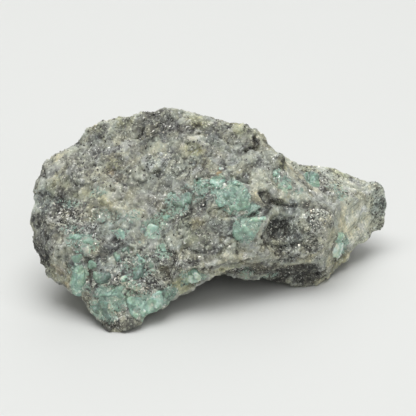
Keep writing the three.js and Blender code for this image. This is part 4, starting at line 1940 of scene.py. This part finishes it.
def turned_towards(
    facing: Array, tilt: float, rng: Random, aligned: float = 0.0
) -> Array:
    """Makes turns that take +Z near given directions.

    Args:
        facing: the directions.
        tilt: how far off the direction a turn may be, as the spread of a random vector added to it.
        rng: source of random numbers.
        aligned: how well +X follows the foliation.

    Returns:
        One 3 by 3 matrix for each direction, whose columns are the turned axes.
    """
    up = facing + tilt * rng.normal(size=facing.shape)
    up /= np.linalg.norm(up, axis=1, keepdims=True)
    side = np.cross(up, rng.normal(size=facing.shape) + aligned * FOLIATION)
    side /= np.linalg.norm(side, axis=1, keepdims=True)
    return np.stack([side, np.cross(up, side), up], axis=2)


def strewn(
    name: str,
    shapes: list[Shape],
    spots: Array,
    turns: Array,
    sizes: Array,
    rng: Random,
) -> Mesh:
    """Joins many copies of a few shapes into one mesh, with a random tone and gloss on each copy.

    Args:
        name: the mesh's name.
        shapes: the shapes.
        spots: where the copies go.
        turns: how they are turned.
        sizes: their sizes along their own axes.
        rng: source of random numbers.

    Returns:
        The mesh.
    """
    kinds = rng.integers(len(shapes), size=len(spots))
    tones = rng.random(len(spots))
    glosses = rng.random(len(spots))
    vertices, triangles, tone, gloss = [], [], [], []
    start = 0
    for kind, (corners, faces) in enumerate(shapes):
        own = np.flatnonzero(kinds == kind)
        grown = corners[None, :, :] * sizes[own][:, None, :]
        grown = np.einsum("nij,nkj->nki", turns[own], grown) + spots[own][:, None, :]
        offsets = start + np.arange(len(own)) * len(corners)
        vertices.append(grown.reshape(-1, 3))
        triangles.append((faces[None] + offsets[:, None, None]).reshape(-1, 3))
        tone.append(np.repeat(tones[own], len(corners)))
        gloss.append(np.repeat(glosses[own], len(corners)))
        start += len(own) * len(corners)
    mesh = bpy.data.meshes.new(name)
    mesh.from_pydata((np.concatenate(vertices) * MM).tolist(), [], np.concatenate(triangles).tolist())
    hold(mesh, "tone", np.concatenate(tone))
    hold(mesh, "gloss", np.concatenate(gloss))
    mesh.update()
    return mesh


def joined(name: str, meshes: list[Mesh]) -> Mesh:
    """Puts several meshes into one.

    Args:
        name: the new mesh's name.
        meshes: the meshes, which are removed.

    Returns:
        The new mesh.
    """
    grown = bmesh.new()
    for mesh in meshes:
        grown.from_mesh(mesh)
        bpy.data.meshes.remove(mesh)
    made = bpy.data.meshes.new(name)
    grown.to_mesh(made)
    grown.free()
    return made


@dataclass
class Scatter:
    """Small pieces of one mineral strewn over the surface of the rock.

    Attributes:
        name: the piece's name.
        count: how many small pieces there are.
        size: smallest and largest size of a small piece.
        sink: how deep its middle lies under the surface, in its own sizes.
        tilt: how far it leans off the surface.
        weights: how much denser it is where the rock is rich in each mineral.
        base_weight: how dense it is elsewhere.
        finish: its finish.
        slot: the material slot of its finish. It is not used.
        seed: seed of its random numbers.
        stretch: how much longer they are drawn out. Their width shrinks as much.
        aligned: how well they follow the foliation.
        kinds: how many different shapes they have.
        bare_foot: height above the ground below which there are none.
    """

    name: str
    count: int
    size: tuple[float, float]
    sink: float
    tilt: float
    base_weight: float
    weights: dict[Mineral, float]
    finish: FlakeFinish
    slot: Slot
    seed: int
    stretch: float = 1.0
    aligned: float = 0.0
    kinds: int = 12
    bare_foot: float = 0.4

    def shapes(self, rng: Random) -> list[Shape]:
        """Makes thin plates with 5 to 7 sides, which the small pieces are copies of."""
        return [flake(5 + kind % 3, 0.12, rng) for kind in range(self.kinds)]

    def build(self, surface: Surface) -> bpy.types.Object:
        """Builds and dresses the small pieces.

        Args:
            surface: the surface that they lie on.

        Returns:
            The piece.
        """
        rng = np.random.default_rng(self.seed)
        weight = np.full(len(surface.area), self.base_weight)
        for mineral, more in self.weights.items():
            weight += more * surface.shares[mineral]
        weight *= surface.corners[:, 0, 2] > self.bare_foot
        spots, facing = surface.scatter(self.count, np.clip(weight, 0, None), rng)
        size = rng.uniform(*self.size, self.count)
        spots = spots - facing * (self.sink * size)[:, None]
        turns = turned_towards(facing, self.tilt, rng, self.aligned)
        uneven = rng.uniform(0.7, 1.15, (self.count, 3))
        sizes = size[:, None] * uneven * (self.stretch, 1 / self.stretch, 1)
        mesh = strewn(self.name, self.shapes(rng), spots, turns, sizes, rng)
        return place_piece(self.name, mesh, self.finish.material())


@dataclass
class BlockScatter(Scatter):
    """Small angular blocks strewn over the surface of the rock.

    Attributes:
        corners: how many random corners a block is made from.
    """

    kinds: int = 16
    corners: int = 9

    def shapes(self, rng: Random) -> list[Shape]:
        """Makes the blocks that the small pieces are copies of."""
        return [broken_block(self.corners, rng) for _ in range(self.kinds)]


@dataclass
class Emeralds:
    """The emerald crystals that stand out of the rock.

    Attributes:
        seats: where the ones that show whole sit.
        pockets: where they are crowded.
        crystals: the ones that show whole.
        facets: the facets of their broken faces, each a size, a lean and a step in millimetres.
        voxel: size of the faces of the joined crystals.
        proud: how far a crowded crystal stands out of the rock.
        kinds: how many different shapes the crowded ones have.
        corners: how many random corners a crowded crystal is made from.
        whole_corners: how many a crystal that shows whole is made from.
        seed: seed of their random numbers.
        finish: their finish.
    """

    seats: Laid
    pockets: tuple[Pocket, ...] = (
        Pocket((4.6, -6.2, 25.4), 4, 40, (1.2, 2.4), 0.52),
        Pocket((0.8, -4.4, 27.6), 2.2, 8, (1, 2), 0.58),
        Pocket((-2.1, -5.2, 27.1), 2, 8, (0.9, 1.8), 0.44),
        Pocket((7.6, -9.6, 18.6), 3.4, 16, (1.2, 2.4), 0.52),
        Pocket((-7, -7.8, 24.4), 2.8, 14, (1, 2), 0.34),
        Pocket((-10.4, -9.8, 21.8), 2, 6, (0.9, 1.8), 0.50),
        Pocket((-12.9, -11.2, 19.4), 2.2, 8, (1, 2), 0.68),
        Pocket((-29.2, -13.8, 18.4), 2.8, 10, (1, 2), 0.48),
        Pocket((-29.8, -16, 12), 2.6, 8, (1.4, 2.6), 0.48),
        Pocket((-22.4, -19.8, 7.6), 3.2, 10, (1.4, 2.6), 0.40),
        Pocket((-24.6, -20.6, 4.6), 2.6, 9, (1.2, 2.4), 0.36),
        Pocket((-15, -20.2, 5.6), 3, 7, (1.4, 2.4), 0.60),
        Pocket((-9.8, -17.4, 6.4), 2.4, 10, (1.2, 2.4), 0.30),
        Pocket((-12.4, -19.6, 3.8), 2.4, 10, (1.2, 2.4), 0.62),
        Pocket((-4.4, -14.2, 8.6), 2.2, 10, (1, 2), 0.56),
        Pocket((-16.8, -16.4, 12.4), 3.4, 12, (0.9, 1.8), 0.40),
        Pocket((-20.2, -12.2, 18.8), 1.8, 4, (0.9, 1.8), 0.5),
        Pocket((-5.4, 20.6, 19.6), 3.4, 16, (1.2, 3.2), 0.34),
        Pocket((1.8, 20.4, 15.4), 3.2, 12, (1.2, 2.8), 0.46),
        Pocket((-9.8, 19, 14.6), 2.4, 5, (1, 2.2), 0.52),
        Pocket((-22, 16.2, 22.4), 3.4, 12, (1.2, 2.8), 0.36),
        Pocket((-26.2, 13, 17.6), 2.2, 4, (1, 2), 0.50),
        Pocket((15.4, 20.2, 11.2), 3.2, 11, (1.2, 2.6), 0.44),
        Pocket((22.8, 18.6, 13.4), 2, 4, (1, 2), 0.58),
    )
    crystals: tuple[Crystal, ...] = CRYSTALS
    facets: tuple[tuple[float, float, float], ...] = ((2.0, 0.13, 0.11), (0.8, 0.09, 0.03))
    voxel: float = 0.24
    proud: float = 0.12
    kinds: int = 24
    corners: int = 14
    whole_corners: int = 18
    seed: int = 5
    finish: EmeraldFinish = field(default_factory=EmeraldFinish)

    def build(self, surface: Surface) -> bpy.types.Object:
        """Builds and dresses the crystals.

        Args:
            surface: the surface of the rock around them.

        Returns:
            The piece.
        """
        rng = np.random.default_rng(self.seed)
        crowd = self.crowded(surface, rng)
        blocks = [broken_block(self.corners, rng) for _ in range(self.kinds)]
        loose = [strewn("crowd", blocks, *crowd.parts(), rng)]
        for index in range(len(self.seats.spots)):
            own = (part[index : index + 1] for part in self.seats.parts())
            loose.append(strewn("single", [broken_block(self.whole_corners, rng)], *own, rng))
        mesh = remeshed("emeralds", joined("emeralds", loose), self.voxel)
        points = smoothed(mesh, places_of(mesh), passes=1, share=0.5)
        move_to(mesh, drift(points, 1.2, 0.28, Seed.SKIN_DRIFT))
        points = places_of(mesh)
        points = points + directions_of(mesh) * self.relief(points)[:, None]
        points[:, 2] = np.maximum(points[:, 2], 0.0)
        move_to(mesh, points)
        hold(mesh, "tone", self.tones(points, crowd))
        # The finish reads this as painted shade in the crystals' hollows.
        hold(mesh, "hollow", np.clip(hollowness(mesh, 0.4), 0, 1))
        mesh.shade_smooth()
        return place_piece("emeralds", mesh, self.finish.material())

    def crowded(self, surface: Surface, rng: Random) -> Laid:
        """Places the crystals of the pockets.

        Args:
            surface: the surface of the rock.
            rng: source of random numbers.

        Returns:
            The placed crystals.
        """
        middles = surface.corners.mean(axis=1)
        spots, turns, sizes, tones = [], [], [], []
        for pocket in self.pockets:
            gap = np.linalg.norm(middles - pocket.centre, axis=1)
            near = gap < max(pocket.reach, gap.min() + 1.0)
            place, facing = surface.scatter(pocket.count, near.astype(float), rng)
            length = rng.uniform(*pocket.size, pocket.count)
            slimness = rng.uniform(0.5, 0.85, (pocket.count, 2))
            size = length[:, None] * np.column_stack([np.ones(pocket.count), slimness])
            spots.append(place - facing * (0.45 * size[:, 2] - self.proud)[:, None])
            turns.append(turned_towards(facing, 0.22, rng))
            sizes.append(size)
            tones.append(rng.normal(pocket.tone, 0.10, pocket.count))
        laid = Laid(*(np.concatenate(rows) for rows in (spots, turns, sizes, tones)))
        free = self.seats.out(laid.spots) > RIM
        return Laid(laid.spots[free], laid.turns[free], laid.sizes[free], laid.tones[free])

    def relief(self, points: Array) -> Array:
        """Works out how far the crystals' broken faces stand out.

        Args:
            points: the places.

        Returns:
            Heights in millimetres.
        """
        height = np.zeros(len(points))
        for index, (size, lean, step) in enumerate(self.facets):
            moved = drift(points, size, 0.2 * size, Seed.FACET_DRIFT + index)
            height += cells_at(moved, size, Seed.FACETS + index).facets(lean, step)
        return height

    def tones(self, points: Array, crowd: Laid) -> Array:
        """Gives each vertex the tone of the crystal that it is on. One that shows whole comes first.

        Args:
            points: the vertices.
            crowd: the crowded crystals.

        Returns:
            One tone for each vertex.
        """
        tree = KDTree(len(crowd.spots))
        for index, spot in enumerate(crowd.spots):
            tree.insert(spot, index)
        tree.balance()
        tones = np.array([crowd.tones[tree.find(point)[1]] for point in points])
        for crystal, spot, turn, size in zip(self.crystals, *self.seats.parts()):
            own = (points - spot) @ turn / (size / 2)
            on_it = (np.abs(own) < 1.08).all(axis=1)
            # The tone slopes along the crystal as painted shade.
            tones[on_it] = crystal.tone + crystal.fade * own[on_it, 0]
        return tones


# --- The studio ---


@dataclass(frozen=True)
class Softbox:
    """A square soft light that faces the stone.

    Attributes:
        name: its name.
        spot: where it is, in metres.
        side: length of its side, in metres.
        power: its power in watts.
    """

    name: str
    spot: Point
    side: float
    power: float

    def hang(self) -> None:
        """Adds the light."""
        data = bpy.data.lights.new(self.name, "AREA")
        data.shape = "SQUARE"
        data.size = self.side
        data.energy = self.power
        lamp = bpy.data.objects.new(self.name, data)
        lamp.location = self.spot
        towards = Vector((0.0, 0.0, 0.02)) - Vector(self.spot)
        lamp.rotation_euler = towards.to_track_quat("-Z", "Y").to_euler()
        bpy.context.scene.collection.objects.link(lamp)


@dataclass
class Studio:
    """A pale floor under soft light, and the camera in front.

    Attributes:
        target: where the camera looks.
        distance: how far away it is.
        elevation: its height over the horizon, in degrees.
        lens: focal length in millimetres.
        floor_side: length of a side of the floor, in metres.
        floor_colour: its colour.
        sky: strength of the light that comes from all round.
        sky_colour: colour of that light.
        lights: the soft lights.
    """

    target: Point = (-0.986, -1.573, 19.8)
    distance: float = 450.0
    elevation: float = 28.0
    lens: float = 173.8
    floor_side: float = 6.0
    floor_colour: Colour = (0.64, 0.65, 0.638)
    sky: float = 0.27
    sky_colour: Colour = (1.0, 0.985, 0.96)
    lights: tuple[Softbox, ...] = (
        Softbox("softbox", (-0.05, -0.08, 1.0), 0.8, 9.9),
        Softbox("back_light", (0.05, 0.85, 0.9), 0.9, 3.8),
        Softbox("fill", (0.35, -1.0, 0.85), 0.9, 2.6),
    )

    def build(self) -> None:
        """Builds the floor, the lights and the camera."""
        self.camera()
        self.floor()
        for light in self.lights:
            light.hang()
        world = bpy.data.worlds.new("studio")
        bpy.context.scene.world = world
        world.use_nodes = True
        background = world.node_tree.nodes["Background"]
        background.inputs["Color"].default_value = (*self.sky_colour, 1.0)
        background.inputs["Strength"].default_value = self.sky
        bpy.context.scene.view_settings.view_transform = "Standard"

    def camera(self) -> None:
        """Puts the camera in front of the stone."""
        angle = math.radians(self.elevation)
        away = Vector((0.0, -math.cos(angle), math.sin(angle))) * self.distance
        data = bpy.data.cameras.new("camera")
        data.lens = self.lens
        data.clip_start = 0.01
        data.clip_end = 50.0
        camera = bpy.data.objects.new("camera", data)
        camera.location = (Vector(self.target) + away) * MM
        camera.rotation_euler = (math.radians(90.0) - angle, 0.0, 0.0)
        bpy.context.scene.collection.objects.link(camera)
        bpy.context.scene.camera = camera

    def floor(self) -> None:
        """Lays the pale floor."""
        half = self.floor_side / 2
        mesh = bpy.data.meshes.new("floor")
        corners = [(-half, -half, 0), (half, -half, 0), (half, half, 0), (-half, half, 0)]
        mesh.from_pydata(corners, [], [(0, 1, 2, 3)])
        made, wiring, surface = material_named("floor")
        mesh.materials.append(made)
        clouds = wiring.clouds(wiring.place(), 0.01, 2.0)
        darker = tuple(0.985 * part for part in self.floor_colour)
        colour = wiring.blend(clouds, self.floor_colour, darker)
        wiring.fill(surface, Base_Color=colour, Roughness=0.9, Specular_IOR_Level=0.1)
        floor = bpy.data.objects.new("floor", mesh)
        bpy.context.scene.collection.objects.link(floor)


FELDSPAR_GRAINS = BlockScatter(
    name="feldspar_grains",
    count=4500,
    size=(0.3, 0.8),
    sink=0.38,
    tilt=2.0,
    base_weight=0.26,
    weights={
        Mineral.FELDSPAR: 1.0,
        Mineral.BIOTITE: -0.3,
        Mineral.SHEEN: -0.35,
        Mineral.EMERALD: -0.1,
        Mineral.SPECKLE: 2.0,
    },
    finish=FlakeFinish(
        "feldspar",
        (
            (0.0, (0.32, 0.325, 0.275)),
            (0.5, (0.48, 0.48, 0.41)),
            (0.8, (0.64, 0.64, 0.55)),
            (1.0, (0.80, 0.79, 0.71)),
        ),
        (0.3, 0.7),
    ),
    slot=Slot.SCHIST,
    seed=21,
)
BIOTITE_FLAKES = Scatter(
    name="biotite_flakes",
    count=4000,
    size=(0.3, 0.8),
    sink=0.03,
    tilt=0.3,
    base_weight=0.08,
    weights={Mineral.BIOTITE: 3.0, Mineral.SHEEN: -0.05, Mineral.EMERALD: 0.05, Mineral.SPECKLE: 1.0},
    finish=FlakeFinish(
        "biotite",
        ((0.0, (0.028, 0.026, 0.023)), (0.5, (0.085, 0.082, 0.073)), (1.0, (0.20, 0.20, 0.18))),
        (0.22, 0.5),
    ),
    slot=Slot.MICA,
    seed=22,
)
SILVER_FLAKES = Scatter(
    name="silver_mica_flakes",
    count=5600,
    size=(0.22, 0.62),
    sink=0.03,
    tilt=0.3,
    base_weight=0.8,
    weights={Mineral.EMERALD: 0.5, Mineral.SHEEN: -0.3, Mineral.SPECKLE: 1.4},
    finish=FlakeFinish(
        "silver_mica",
        ((0.0, (0.38, 0.38, 0.34)), (0.6, (0.62, 0.62, 0.57)), (1.0, (0.88, 0.88, 0.84))),
        (0.16, 0.42),
        0.45,
    ),
    slot=Slot.MICA,
    seed=23,
    stretch=1.4,
    aligned=1.5,
)


def main() -> None:
    """Builds every piece of the stone and its studio, in order."""
    logging.basicConfig(level=logging.INFO, format="%(name)s: %(message)s")
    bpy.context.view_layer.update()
    Studio().build()
    host = HostRock()
    rock = host.build()
    report(rock)
    surface = Surface.of(rock)
    report(Emeralds(host.seats).build(surface))
    for scatter in (FELDSPAR_GRAINS, BIOTITE_FLAKES, SILVER_FLAKES):
        report(scatter.build(surface))


if __name__ == "__main__":
    main()
